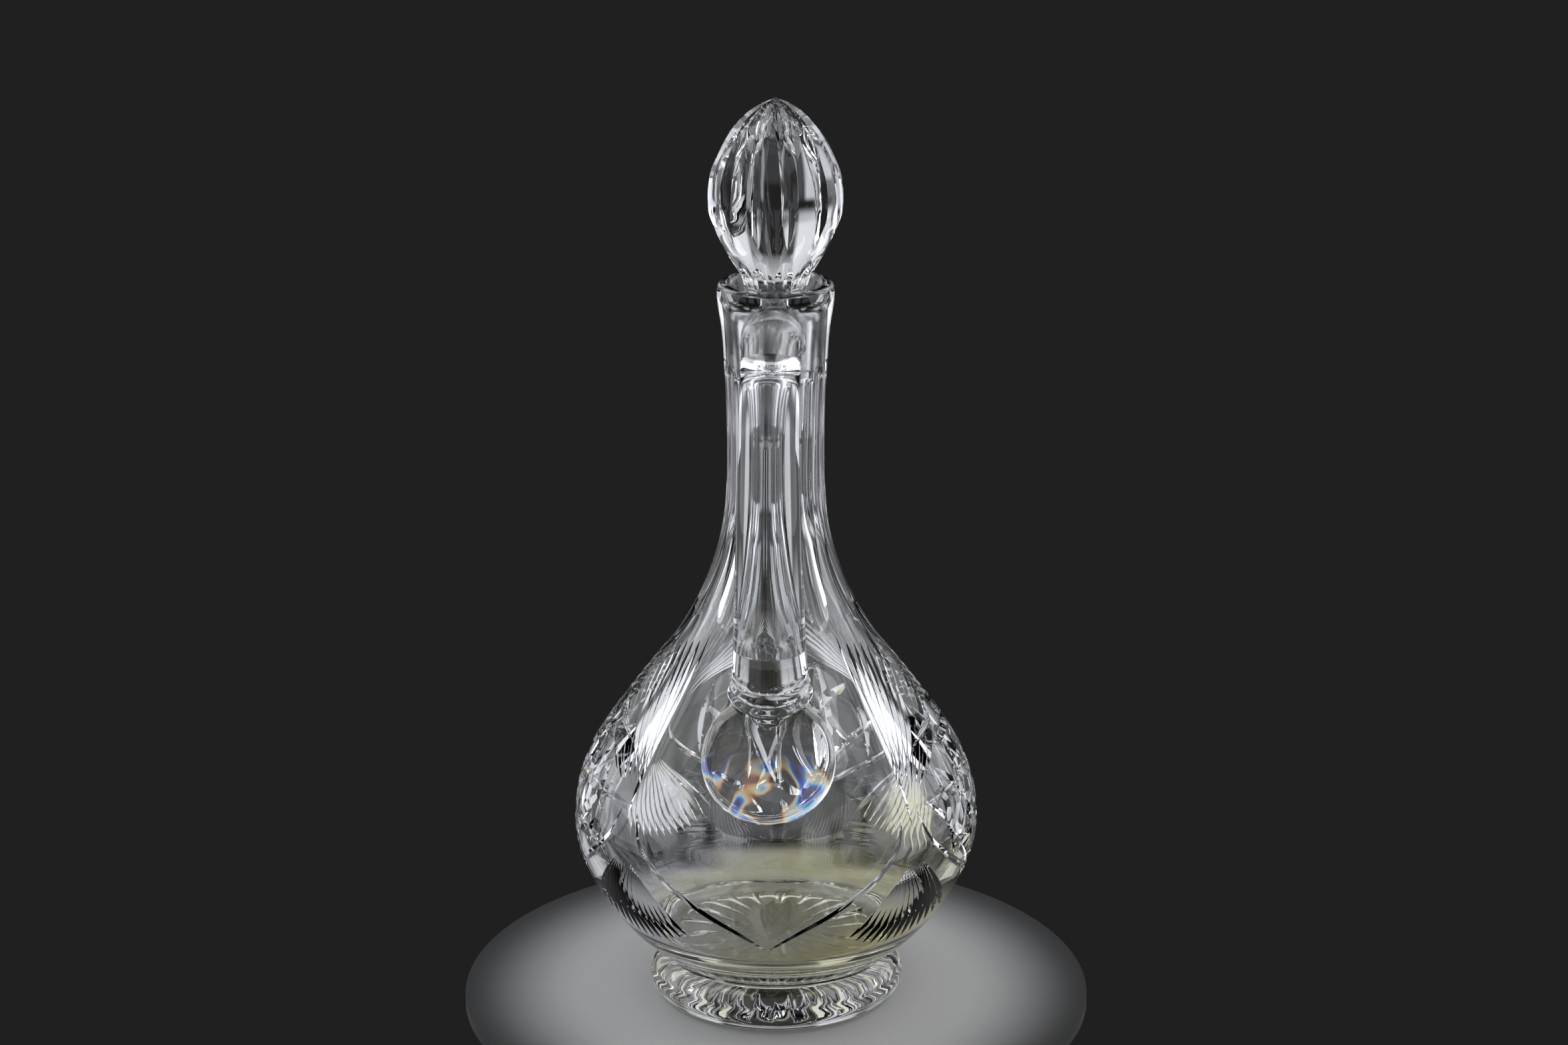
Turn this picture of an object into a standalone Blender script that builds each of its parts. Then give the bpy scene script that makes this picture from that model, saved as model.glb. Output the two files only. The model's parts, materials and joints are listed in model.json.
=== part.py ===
"""Cut glass carafe: a heavy blown vessel on a star-cut foot, a solid rod handle and a ground-in stopper.

Metres, +Z up. The origin is on the vessel's axis, on the surface that the foot stands on.
Azimuths are in degrees from -Y, where the handle is, turning towards +X.
"""
import math

import bmesh
import bpy
import numpy as np
from mathutils import Vector

# Heights above the table, on the axis
JOINT_HEIGHT = 0.0185
BASE_EDGE_HEIGHT = 0.0225
BOWL_WIDEST_HEIGHT = 0.0740
NECK_WAIST_HEIGHT = 0.2350
RIM_WIDEST_HEIGHT = 0.2980
VESSEL_HEIGHT = 0.3025
HEAD_HEIGHT = 0.0740
CARAFE_HEIGHT = VESSEL_HEIGHT + HEAD_HEIGHT

# Radii of the vessel
JOINT_RADIUS = 0.0465
BASE_EDGE_RADIUS = 0.0500
BOWL_RADIUS = 0.0828
NECK_RADIUS = 0.0195
RIM_RADIUS = 0.0234

# Inside of the vessel
BOWL_WALL = 0.0055
SHOULDER_WALL = 0.0058
FLOOR_HEIGHT = 0.0300
FLOOR_RADIUS = 0.0360
BORE_RADIUS = 0.0120
MOUTH_RADIUS = 0.0185
MOUTH_DEPTH = 0.0100
RIM_ROUND = 0.0026

# Pouring lip, opposite the handle
LIP_RISE = 0.0032
LIP_REACH = 0.0026
LIP_DEPTH = 0.0130
LIP_HALF_WIDTH = 55

# Ground seat of the stopper
SEAT_RADIUS = 0.0130
SEAT_LENGTH = 0.0450
SEAT_TAPER_SHARE = 0.025
SHANK_LENGTH = 0.0560
SHANK_ROUND = 0.0012

# Foot
FOOT_RADIUS = 0.0526
FOOT_WIDEST_HEIGHT = 0.0072
FOOT_RING_RADIUS = 0.0463
STAR_RADIUS = 0.0425
STAR_EYE_RADIUS = 0.0016
STAR_RAYS = 24
STAR_DEPTH = 0.0022

# Stopper head
HEAD_RADIUS = 0.0266
HEAD_WIDEST_SHARE = 0.44
COLLAR_RADIUS = 0.0126
COLLAR_DROP = 0.0015
HEAD_CUTS = 12
HEAD_CUT_DEPTH = 0.0030
HEAD_CUT_START_SHARE = 0.236
COLLAR_CUT_DEPTH = 0.0009
COLLAR_CUT_TOP_SHARE = 0.196

# Handle
ROD_TOP_RADIUS = 0.0117
ROD_FOOT_RADIUS = 0.0160
ROD_REACH = 0.0580
ROD_TOP_HEIGHT = 0.2835
ROD_FOOT_REACH = 0.0440
ROD_FOOT_HEIGHT = 0.1370
SEAL_RADIUS = 0.0265
SEAL_THICKNESS = 0.0062
SEAL_ROUND = 0.0050
SEAL_HEIGHT = 0.1225
PAD_RADIUS = 0.0130
PAD_THICKNESS = 0.0045

# Neck flutes
FLUTES = 10
FLUTE_TOP = 0.2680
FLUTE_FOOT = 0.1640
FLUTE_DEPTH = 0.0018
FLUTE_WHEEL_RADIUS = 0.0150

# Cut panels of the bowl: four, of which the one under the handle stays plain
PANELS = 4
MITRE_DEPTH = 0.0017
PANEL_CORNER_HEIGHT = 0.1000
UPRIGHT_OVERLAP = 0.0060
PANEL_TOP_HEIGHT = 0.1650
PANEL_APEX_HEIGHT = 0.0470
FAN_RAYS = 6
FAN_START = 0.0140
FAN_LENGTH = 0.0750
FAN_SPREAD = 54
FAN_DEPTH = 0.0019
SKIRT_RAYS = 7
SKIRT_CENTRE_HEIGHT = 0.0850
SKIRT_START = 0.0080
SKIRT_LENGTH = 0.0450
SKIRT_SPREAD = 38
SKIRT_DEPTH = 0.0017
STAR_PANEL_HEIGHT = 0.0810
STAR_CHORD = 0.0205
STAR_REACH = 0.0360
STAR_CHORD_REACH = 0.0230
STAR_LONG_REACH = 0.0380
HOB_DEPTH = 0.0021

# Cutting and fitting
GAP = 0.0003
LIFT = 0.0010
MERGE = 0.00002
MITRE_HALF_ANGLE = 52
TURNED_STEPS = 40
DOME_STEPS = 24
FINE_ANGLE = 28

# Outline shares: (share of the height, share of the radius) between two named places
BASE_SHARES = [(0.107, 0.213), (0.223, 0.393), (0.36, 0.565), (0.515, 0.726), (0.67, 0.857), (0.835, 0.955)]
SHOULDER_SHARES = [
    (0.05, 0.002), (0.112, 0.026), (0.19, 0.098), (0.27, 0.220), (0.35, 0.365), (0.43, 0.520),
    (0.51, 0.676), (0.60, 0.802), (0.70, 0.906), (0.80, 0.970), (0.90, 0.996),
]
NECK_SHARES = [(0.22, 0.03), (0.40, 0.13), (0.52, 0.26), (0.68, 0.38), (0.81, 0.60), (0.92, 0.87)]
HEAD_SHARES = [
    (0.98, 0.06), (0.93, 0.23), (0.85, 0.42), (0.76, 0.56), (0.64, 0.70), (0.48, 0.83), (0.30, 0.95),
    (0.14, 0.995),
]
STEM_SHARES = [(0.87, 0.975), (0.74, 0.86), (0.58, 0.70), (0.42, 0.50), (0.27, 0.29), (0.13, 0.09)]
FOOT_TOP_SHARES = [(0.87, 0.76), (0.62, 0.36), (0.33, 0.11)]
FOOT_UNDER_SHARES = [(0.31, 0.05), (0.66, 0.29), (0.87, 0.69)]
INSIDE_SHARES = [(0.04, 0.36), (0.17, 0.58), (0.42, 0.77), (0.72, 0.93)]

# Cut shares: depth of a cut, as shares of its full depth, at places along it
FLUTE_SHARES = [(0, -0.2), (0.08, 0.5), (0.2, 0.9), (0.5, 1), (0.94, 1), (1, -0.2)]
HEAD_CUT_SHARES = [(0, -0.15), (0.08, 0.5), (0.2, 0.9), (0.4, 1), (0.6, 1), (0.8, 1), (0.95, 1)]
COLLAR_CUT_SHARES = [(0, 0.8), (0.5, 1), (1, -0.3)]

# Rod shares: (share of the reach, share of the drop from its top, share of the way to its stout end)
ROD_SHARES = [
    (0.17, 0, 0.20), (0.45, -0.007, 0.12), (0.76, 0.045, 0), (0.955, 0.18, 0.03), (1, 0.40, 0.20),
    (0.965, 0.64, 0.46), (0.87, 0.84, 0.72),
]


def clear_scene():
    for item in list(bpy.data.objects):
        bpy.data.objects.remove(item, do_unlink=True)


def collection(name):
    made = bpy.data.collections.new(name)
    bpy.context.scene.collection.children.link(made)
    return made


def glass(name, tint):
    """Polished lead crystal; tint is its colour in the viewport and the render."""
    made = bpy.data.materials.new(name)
    made.use_nodes = True
    made.diffuse_color = (*tint, 1)
    shader = made.node_tree.nodes["Principled BSDF"]
    shader.inputs["Base Color"].default_value = (*tint, 1)
    shader.inputs["Metallic"].default_value = 0
    shader.inputs["Roughness"].default_value = 0.02
    shader.inputs["IOR"].default_value = 1.54
    shader.inputs["Transmission Weight"].default_value = 1
    return made


def between(low, high, shares):
    """Outline points at shares of the way from low to high, each a (radius, height) pair."""
    return [
        (low[0] + across * (high[0] - low[0]), low[1] + up * (high[1] - low[1])) for up, across in shares
    ]


def rounded(centre, radius, start, stop, steps):
    """Points of an arc about centre, from start to stop degrees."""
    return [
        (centre[0] + radius * math.cos(math.radians(a)), centre[1] + radius * math.sin(math.radians(a)))
        for a in np.linspace(start, stop, steps + 1)
    ]


def through(points, steps):
    """A smooth curve through the points, with steps pieces between each two of them."""
    p = np.array(points)
    before = np.vstack([2 * p[0] - p[1], p, 2 * p[-1] - p[-2]])
    curve = []
    for i in range(len(p) - 1):
        a, b, c, d = before[i : i + 4]
        for t in np.arange(steps) / steps:
            slope_b, slope_c = (c - a) / 2, (d - b) / 2
            h = t * t * (3 - 2 * t)
            curve.append(
                b * (1 - h) + c * h + slope_b * t * (1 - t) ** 2 - slope_c * t * t * (1 - t)
            )
    return [tuple(x) for x in curve] + [tuple(p[-1])]


class Surface:
    """A surface of revolution, which cuts are laid out on by azimuth and distance up its outline."""

    def __init__(self, outline):
        self.radii, self.heights = np.array(sorted(outline, key=lambda p: p[1])).T
        runs = np.hypot(np.diff(self.radii), np.diff(self.heights))
        self.lengths = np.concatenate([[0], np.cumsum(runs)])

    def at_height(self, height):
        return float(np.interp(height, self.heights, self.lengths))

    def radius(self, length):
        return float(np.interp(length, self.lengths, self.radii))

    def place(self, azimuth, length):
        """The point there and the outward normal."""
        radius = self.radius(length)
        height = float(np.interp(length, self.lengths, self.heights))
        nudge = self.lengths[-1] / 400
        rise = np.interp(length + nudge, self.lengths, self.heights) - np.interp(
            length - nudge, self.lengths, self.heights
        )
        swell = self.radius(length + nudge) - self.radius(length - nudge)
        out = Vector((math.sin(math.radians(azimuth)), -math.cos(math.radians(azimuth)), 0))
        normal = (out * rise - Vector((0, 0, 1)) * swell).normalized()
        return out * radius + Vector((0, 0, height)), normal

    def ray(self, azimuth, length, heading, start, stop, steps):
        """Places along a straight cut that leaves a centre at heading degrees from straight up."""
        across, up = math.sin(math.radians(heading)), math.cos(math.radians(heading))
        places = []
        step = (stop - start) / steps
        turned = azimuth + math.degrees(start * across / self.radius(length + start * up))
        for i in range(steps + 1):
            run = length + (start + i * step) * up
            places.append(self.place(turned, run))
            turned += math.degrees(step * across / self.radius(run + step * up / 2))
        return places


def lens(steps, fullness):
    """Depth shares of a cut that runs out to a point at both ends, deepest past its middle."""
    return [math.sin(math.pi * u**fullness) - math.exp(-60 * u) / 9 - math.exp(-60 * (1 - u)) / 9
            for u in np.linspace(0, 1, steps + 1)]


def mitre_section(depth):
    half = (depth + LIFT) * math.tan(math.radians(MITRE_HALF_ANGLE))
    return [(-half, LIFT), (0, -depth), (half, LIFT)]


def hollow_section(depth, deepest, wheel, steps):
    """Section of a hollow cut by a round wheel, closed above the glass."""
    reach = math.degrees(math.acos(1 - (deepest + LIFT) / wheel))
    return [
        (wheel * math.sin(math.radians(a)), wheel - depth - wheel * math.cos(math.radians(a)))
        for a in np.linspace(-reach, reach, steps + 1)
    ]


def loft(name, places, sections, where):
    """A cutter lofted along places on a surface, with one section of (across, out) points at each."""
    mesh = bmesh.new()
    rings = []
    for i, ((point, normal), section) in enumerate(zip(places, sections)):
        ahead = places[min(i + 1, len(places) - 1)][0] - places[max(i - 1, 0)][0]
        side = ahead.cross(normal).normalized()
        rings.append([mesh.verts.new(point + side * x + normal * h) for x, h in section])
    for one, two in zip(rings, rings[1:]):
        for j in range(len(one)):
            k = (j + 1) % len(one)
            mesh.faces.new((one[j], one[k], two[k], two[j]))
    mesh.faces.new(rings[0][::-1])
    mesh.faces.new(rings[-1])
    bmesh.ops.recalc_face_normals(mesh, faces=mesh.faces)
    return finish(name, mesh, where)


def finish(name, mesh, where):
    data = bpy.data.meshes.new(name)
    mesh.to_mesh(data)
    mesh.free()
    made = bpy.data.objects.new(name, data)
    where.objects.link(made)
    return made


def as_cutter(item):
    item.hide_render = True
    item.display_type = "WIRE"
    return item


def mitre(name, places, depth, where, fullness=1.0):
    """A V-shaped cut along places, pointed at both ends."""
    shares = lens(len(places) - 1, fullness)
    sections = [mitre_section(max(depth * share, -LIFT / 2)) for share in shares]
    return as_cutter(loft(name, places, sections, where))


def turned(name, outline, where, steps=TURNED_STEPS):
    """A solid turned from an outline that runs down its outer side, from axis to axis.

    It starts half a step past +X, so that no cut's keel lies under a column of its vertices.
    """
    data = bpy.data.meshes.new(name)
    across, along = math.cos(math.pi / steps), math.sin(math.pi / steps)
    points = [(radius * across, radius * along, height) for radius, height in outline]
    data.from_pydata(points, [(i, i + 1) for i in range(len(points) - 1)], [])
    made = bpy.data.objects.new(name, data)
    where.objects.link(made)
    screw = made.modifiers.new("Turn", "SCREW")
    screw.steps = steps
    screw.render_steps = steps
    screw.use_merge_vertices = True
    screw.merge_threshold = MERGE
    return made


def boolean(item, operation, operand):
    cut = item.modifiers.new(operation.title(), "BOOLEAN")
    cut.operation = operation
    cut.solver = "EXACT"
    if isinstance(operand, bpy.types.Collection):
        cut.operand_type = "COLLECTION"
        cut.collection = operand
    else:
        cut.object = operand
    return cut


def applied(item, where):
    """The item with its modifiers applied or, for a curve, turned into a mesh with welded caps."""
    bpy.context.view_layer.update()
    evaluated = item.evaluated_get(bpy.context.evaluated_depsgraph_get())
    data = bpy.data.meshes.new_from_object(evaluated)
    if item.type == "CURVE":
        mesh = bmesh.new()
        mesh.from_mesh(data)
        bmesh.ops.remove_doubles(mesh, verts=mesh.verts, dist=MERGE)
        mesh.to_mesh(data)
        mesh.free()
    name, place = item.name, item.matrix_world.copy()
    bpy.data.objects.remove(item, do_unlink=True)
    made = bpy.data.objects.new(name, data)
    made.matrix_world = place
    where.objects.link(made)
    return made


def smooth(item, material):
    item.data.materials.clear()
    item.data.materials.append(material)
    item.data.shade_smooth()
    item.data.set_sharp_from_angle(angle=math.radians(FINE_ANGLE))


def blank_outline(steps=1):
    """Outer outline of the uncut vessel, from the rim down to the joint with the foot."""
    base_edge = (BASE_EDGE_RADIUS, BASE_EDGE_HEIGHT)
    widest = (BOWL_RADIUS, BOWL_WIDEST_HEIGHT)
    waist = (NECK_RADIUS, NECK_WAIST_HEIGHT)
    rim = (RIM_RADIUS, RIM_WIDEST_HEIGHT)
    points = [(JOINT_RADIUS, JOINT_HEIGHT + GAP)]
    points.append(((JOINT_RADIUS * 2 + BASE_EDGE_RADIUS) / 3, (JOINT_HEIGHT + BASE_EDGE_HEIGHT) / 2))
    points += [base_edge, *between(base_edge, widest, BASE_SHARES)]
    points += [widest, *between(widest, waist, SHOULDER_SHARES)]
    points += [waist, *between(waist, rim, NECK_SHARES), rim]
    return through(points[::-1], steps)


def inside_outline():
    """Inner outline of the vessel, from the middle of its floor up to the mouth."""
    blank = Surface(blank_outline(4))
    floor = [(0, FLOOR_HEIGHT)]
    floor_edge = (FLOOR_RADIUS, FLOOR_HEIGHT + BOWL_WALL / 3)
    belly = (BOWL_RADIUS - BOWL_WALL, BOWL_WIDEST_HEIGHT)
    sides = [floor_edge, *between(floor_edge, belly, INSIDE_SHARES), belly]
    neck_start = NECK_WAIST_HEIGHT - SEAT_LENGTH / 2
    for height in np.linspace(BOWL_WIDEST_HEIGHT, neck_start, 7)[1:-1]:
        point, normal = blank.place(0, blank.at_height(height))
        inner = point - normal * SHOULDER_WALL
        sides.append((max(-inner.y, BORE_RADIUS), inner.z))
    seat_low = VESSEL_HEIGHT - MOUTH_DEPTH - SEAT_LENGTH
    seat_low_radius = SEAT_RADIUS - SEAT_LENGTH * SEAT_TAPER_SHARE
    sides = [p for p in sides if p[1] < neck_start]
    neck = [(seat_low_radius, neck_start), (seat_low_radius, seat_low)]
    mouth = [
        (SEAT_RADIUS, VESSEL_HEIGHT - MOUTH_DEPTH),
        ((SEAT_RADIUS * 3 + MOUTH_RADIUS) / 4, VESSEL_HEIGHT - MOUTH_DEPTH * 2 / 3),
    ]
    return [*floor, *sides, *neck, *mouth]


def rim_outline():
    """The rounded rim, from the inner mouth over the top to the widest place outside."""
    top = VESSEL_HEIGHT - RIM_ROUND
    inner = rounded((MOUTH_RADIUS + RIM_ROUND / 2, top), RIM_ROUND, 165, 90, 2)
    outer = rounded((RIM_RADIUS - RIM_ROUND, top), RIM_ROUND, 90, 15, 2)
    return inner + outer


def pull_lip(item):
    """Draws the rim out and up into a soft pouring lip, opposite the handle."""
    for vertex in item.data.vertices:
        x, y, z = vertex.co
        along = (z - VESSEL_HEIGHT + LIP_DEPTH) / LIP_DEPTH
        away = math.degrees(math.atan2(abs(x), y)) / LIP_HALF_WIDTH
        if along <= 0 or away >= 1:
            continue
        pull = along * along * math.cos(away * math.pi / 2) ** 2
        out = Vector((x, y, 0)).normalized()
        vertex.co += out * LIP_REACH * pull + Vector((0, 0, 1)) * LIP_RISE * pull


def flute_cuts(surface, where):
    """Hollow flutes up the neck, which run out on the shoulder and stop square at the collar."""
    low, high = surface.at_height(FLUTE_FOOT), surface.at_height(FLUTE_TOP)
    sections = [
        hollow_section(FLUTE_DEPTH * share, FLUTE_DEPTH, FLUTE_WHEEL_RADIUS, 3)
        for stop, share in FLUTE_SHARES
    ]
    for i in range(FLUTES):
        azimuth = i * 360 / FLUTES
        places = [surface.place(azimuth, low + stop * (high - low)) for stop, share in FLUTE_SHARES]
        as_cutter(loft(f"flute_{i}", places, sections, where))


def panel_mitres(surface, corner, where):
    """The upright mitre above a panel corner, and the two that fall from it to the panel apexes."""
    high = surface.at_height(PANEL_TOP_HEIGHT)
    turn = surface.at_height(PANEL_CORNER_HEIGHT)
    low = surface.at_height(PANEL_APEX_HEIGHT)
    upright = [surface.place(corner, run) for run in np.linspace(turn - UPRIGHT_OVERLAP, high, 5)]
    mitre(f"upright_{corner:.0f}", upright, MITRE_DEPTH, where)
    for side in (-1, 1):
        places = []
        for u in np.linspace(0, 1, 8):
            across = 180 / PANELS * math.sin(u * math.pi / 2) ** 1.15
            run = low + (turn - low) * (1 - math.cos(u * math.pi / 2)) ** 0.62
            places.append(surface.place(corner + side * (180 / PANELS - across), run))
        mitre(f"falling_{corner:.0f}_{side}", places, MITRE_DEPTH, where, 0.8)


def fan_cuts(surface, corner, sides, where):
    """Rays of the fan that stands on a panel corner, on each side where a cut panel lies."""
    centre = surface.at_height(PANEL_CORNER_HEIGHT)
    for side in sides:
        for i in range(1, FAN_RAYS + 1):
            heading = side * FAN_SPREAD * (2 * i - 1) / (2 * FAN_RAYS - 1)
            places = surface.ray(corner, centre, heading, FAN_START, FAN_LENGTH, 3)
            mitre(f"fan_{corner:.0f}_{side * i}", places, FAN_DEPTH, where, 1.25)


def skirt_cuts(surface, corner, where):
    """Rays of the smaller fan that hangs below a panel corner."""
    centre = surface.at_height(SKIRT_CENTRE_HEIGHT)
    for i, spread in enumerate(np.linspace(-SKIRT_SPREAD, SKIRT_SPREAD, SKIRT_RAYS)):
        places = surface.ray(corner, centre, 180 + spread, SKIRT_START, SKIRT_LENGTH, 3)
        mitre(f"skirt_{corner:.0f}_{i}", places, SKIRT_DEPTH, where, 1.25)


def hobstar_cuts(surface, azimuth, where):
    """Eight-pointed hobstar: four cuts through the middle and eight chords that frame its button.

    The level chord above the button and the two upright ones run on towards the fans.
    """
    centre = surface.at_height(STAR_PANEL_HEIGHT)
    for i in range(4):
        places = surface.ray(azimuth, centre, i * 45, -STAR_REACH, STAR_REACH, 5)
        mitre(f"hob_line_{azimuth:.0f}_{i}", places, HOB_DEPTH, where)
    for i in range(8):
        heading = math.radians(i * 45)
        run = centre + STAR_CHORD * math.cos(heading)
        turn = azimuth + math.degrees(STAR_CHORD * math.sin(heading) / surface.radius(run))
        back = STAR_LONG_REACH if i in (0, 2) else STAR_CHORD_REACH
        ahead = STAR_LONG_REACH if i in (0, 6) else STAR_CHORD_REACH
        places = surface.ray(turn, run, i * 45 + 90, -back, ahead, 5 if i in (0, 2, 6) else 3)
        mitre(f"hob_chord_{azimuth:.0f}_{i}", places, HOB_DEPTH, where)


def make_vessel(parts, cutters):
    outline = [*inside_outline(), *rim_outline(), *blank_outline(), (0, JOINT_HEIGHT + GAP)]
    vessel = applied(turned("vessel", outline, parts), parts)
    pull_lip(vessel)
    surface = Surface(blank_outline(8))
    cuts = bpy.data.collections.new("vessel_cuts")
    cutters.children.link(cuts)
    flute_cuts(surface, cuts)
    for i in range(PANELS):
        middle = i * 360 / PANELS
        corner = middle + 180 / PANELS
        panel_mitres(surface, corner, cuts)
        cut_sides = [side for side, beside in ((-1, i), (1, (i + 1) % PANELS)) if beside != 0]
        fan_cuts(surface, corner, cut_sides, cuts)
        skirt_cuts(surface, corner, cuts)
        if i > 0:
            hobstar_cuts(surface, middle, cuts)
    boolean(vessel, "DIFFERENCE", cuts)
    vessel = applied(vessel, parts)
    smooth(vessel, glass("vessel_glass", (0.80, 0.86, 0.90)))
    return vessel


def make_foot(parts, cutters):
    rim_low = (FOOT_RING_RADIUS, 0)
    widest = (FOOT_RADIUS, FOOT_WIDEST_HEIGHT)
    joint = (JOINT_RADIUS, JOINT_HEIGHT)
    outline = [(0, JOINT_HEIGHT), joint, *between(widest, joint, FOOT_TOP_SHARES), widest]
    outline += between(widest, rim_low, FOOT_UNDER_SHARES)
    outline += [rim_low, (0, 0)]
    foot = applied(turned("foot", outline, parts), parts)
    cuts = bpy.data.collections.new("foot_cuts")
    cutters.children.link(cuts)
    down = Vector((0, 0, -1))
    for i in range(STAR_RAYS):
        angle = math.radians((i + 0.5) * 360 / STAR_RAYS)
        out = Vector((math.sin(angle), -math.cos(angle), 0))
        places = [(out * reach, down) for reach in np.linspace(STAR_EYE_RADIUS, STAR_RADIUS, 4)]
        mitre(f"star_{i}", places, STAR_DEPTH, cuts, 1.7)
    boolean(foot, "DIFFERENCE", cuts)
    foot = applied(foot, parts)
    smooth(foot, glass("foot_glass", (0.84, 0.87, 0.84)))
    return foot


def head_outline():
    """Outline of the stopper above the rim, from its tip down to the collar."""
    tip = (0, CARAFE_HEIGHT)
    widest = (HEAD_RADIUS, VESSEL_HEIGHT + HEAD_HEIGHT * HEAD_WIDEST_SHARE)
    collar = (COLLAR_RADIUS, VESSEL_HEIGHT - COLLAR_DROP)
    points = [tip, *between(widest, tip, [(up, 1 - across) for up, across in HEAD_SHARES]), widest]
    return points + [*between(collar, widest, STEM_SHARES), collar]


def make_stopper(parts, cutters):
    seat_top = VESSEL_HEIGHT - MOUTH_DEPTH
    shank_end = seat_top - SHANK_LENGTH
    shank_radius = SEAT_RADIUS - GAP
    end_radius = shank_radius - SHANK_LENGTH * SEAT_TAPER_SHARE
    outline = head_outline()
    outline.append((shank_radius, seat_top))
    outline.append((end_radius, shank_end + SHANK_ROUND))
    outline += [(end_radius - SHANK_ROUND, shank_end), (0, shank_end)]
    stopper = applied(turned("stopper", outline, parts, 2 * HEAD_CUTS), parts)
    surface = Surface(head_outline())
    cuts = bpy.data.collections.new("stopper_cuts")
    cutters.children.link(cuts)
    low = surface.at_height(VESSEL_HEIGHT + HEAD_HEIGHT * HEAD_CUT_START_SHARE)
    tip = surface.lengths[-1]
    runs = [low + (tip - low) * stop for stop, share in HEAD_CUT_SHARES]
    crowd = math.tan(math.pi / HEAD_CUTS) / math.tan(math.radians(MITRE_HALF_ANGLE))
    head_sections = [
        mitre_section(min(HEAD_CUT_DEPTH * share, surface.radius(run) * crowd))
        for run, (stop, share) in zip(runs, HEAD_CUT_SHARES)
    ]
    collar_top = surface.at_height(VESSEL_HEIGHT + HEAD_HEIGHT * COLLAR_CUT_TOP_SHARE)
    collar_runs = [collar_top * stop for stop, share in COLLAR_CUT_SHARES]
    collar_sections = [
        hollow_section(COLLAR_CUT_DEPTH * share, COLLAR_CUT_DEPTH, COLLAR_RADIUS, 2)
        for stop, share in COLLAR_CUT_SHARES
    ]
    for i in range(HEAD_CUTS):
        azimuth = (i + 0.5) * 360 / HEAD_CUTS
        places = [surface.place(azimuth, run) for run in runs]
        as_cutter(loft(f"head_cut_{i}", places, head_sections, cuts))
        places = [surface.place(azimuth, run) for run in collar_runs]
        as_cutter(loft(f"collar_cut_{i}", places, collar_sections, cuts))
    boolean(stopper, "DIFFERENCE", cuts)
    stopper = applied(stopper, parts)
    smooth(stopper, glass("stopper_glass", (0.88, 0.90, 0.94)))
    return stopper


def rod_route():
    """The rod's middle line in the plane x = 0, as (reach, height, radius) from neck to bowl."""
    drop = ROD_TOP_HEIGHT - ROD_FOOT_HEIGHT
    swell = ROD_FOOT_RADIUS - ROD_TOP_RADIUS
    points = [
        (ROD_REACH * out, ROD_TOP_HEIGHT - drop * down, ROD_TOP_RADIUS + swell * stout)
        for out, down, stout in ROD_SHARES
    ]
    points.append((ROD_FOOT_REACH, ROD_FOOT_HEIGHT, ROD_FOOT_RADIUS))
    return through(points, 2)


def dome(name, radius, thickness, edge, point, normal, where):
    """A round lens-like gob of glass pressed on a surface at point."""
    sunk = thickness / 2
    outline = [(0, thickness), (radius / 3, thickness * 0.965), (radius * 0.6, thickness * 0.86)]
    outline += rounded((radius - edge, thickness - edge * 1.35), edge, 68, 0, 3)
    outline += [(radius, -sunk * 2), (0, -sunk * 2)]
    made = turned(name, outline, where, DOME_STEPS)
    made.rotation_mode = "QUATERNION"
    made.rotation_quaternion = normal.to_track_quat("Z", "Y")
    made.location = point
    return made


def make_handle(parts, cutters):
    curve = bpy.data.curves.new("handle", "CURVE")
    curve.dimensions = "3D"
    curve.bevel_depth = ROD_TOP_RADIUS
    curve.bevel_resolution = 4
    curve.use_fill_caps = True
    route = rod_route()
    spline = curve.splines.new("POLY")
    spline.points.add(len(route) - 1)
    for place, (reach, height, radius) in zip(spline.points, route):
        place.co = (0, -reach, height, 1)
        place.radius = radius / ROD_TOP_RADIUS
    rod = bpy.data.objects.new("handle", curve)
    parts.objects.link(rod)
    handle = applied(rod, parts)
    surface = Surface(blank_outline(8))
    seal_place = surface.place(0, surface.at_height(SEAL_HEIGHT))
    pad_place = surface.place(0, surface.at_height(ROD_TOP_HEIGHT))
    seal = dome("seal_form", SEAL_RADIUS, SEAL_THICKNESS, SEAL_ROUND, *seal_place, cutters)
    pad = dome("pad_form", PAD_RADIUS, PAD_THICKNESS, PAD_THICKNESS / 2, *pad_place, cutters)
    boolean(handle, "UNION", as_cutter(seal))
    boolean(handle, "UNION", as_cutter(pad))
    seat = [(radius + GAP, height) for radius, height in blank_outline()]
    seat = [(0, seat[0][1]), *seat, (0, seat[-1][1])]
    boolean(handle, "DIFFERENCE", as_cutter(turned("handle_seat", seat, cutters)))
    handle = applied(handle, parts)
    smooth(handle, glass("handle_glass", (0.86, 0.88, 0.95)))
    return handle


def main():
    clear_scene()
    parts = collection("cut_glass_carafe")
    cutters = collection("cutters")
    make_vessel(parts, cutters)
    make_foot(parts, cutters)
    make_handle(parts, cutters)
    make_stopper(parts, cutters)


main()
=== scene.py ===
"""Looks of the cut glass carafe: the fused glass body, its loose stopper and a plain studio."""

import json
import math

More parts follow.
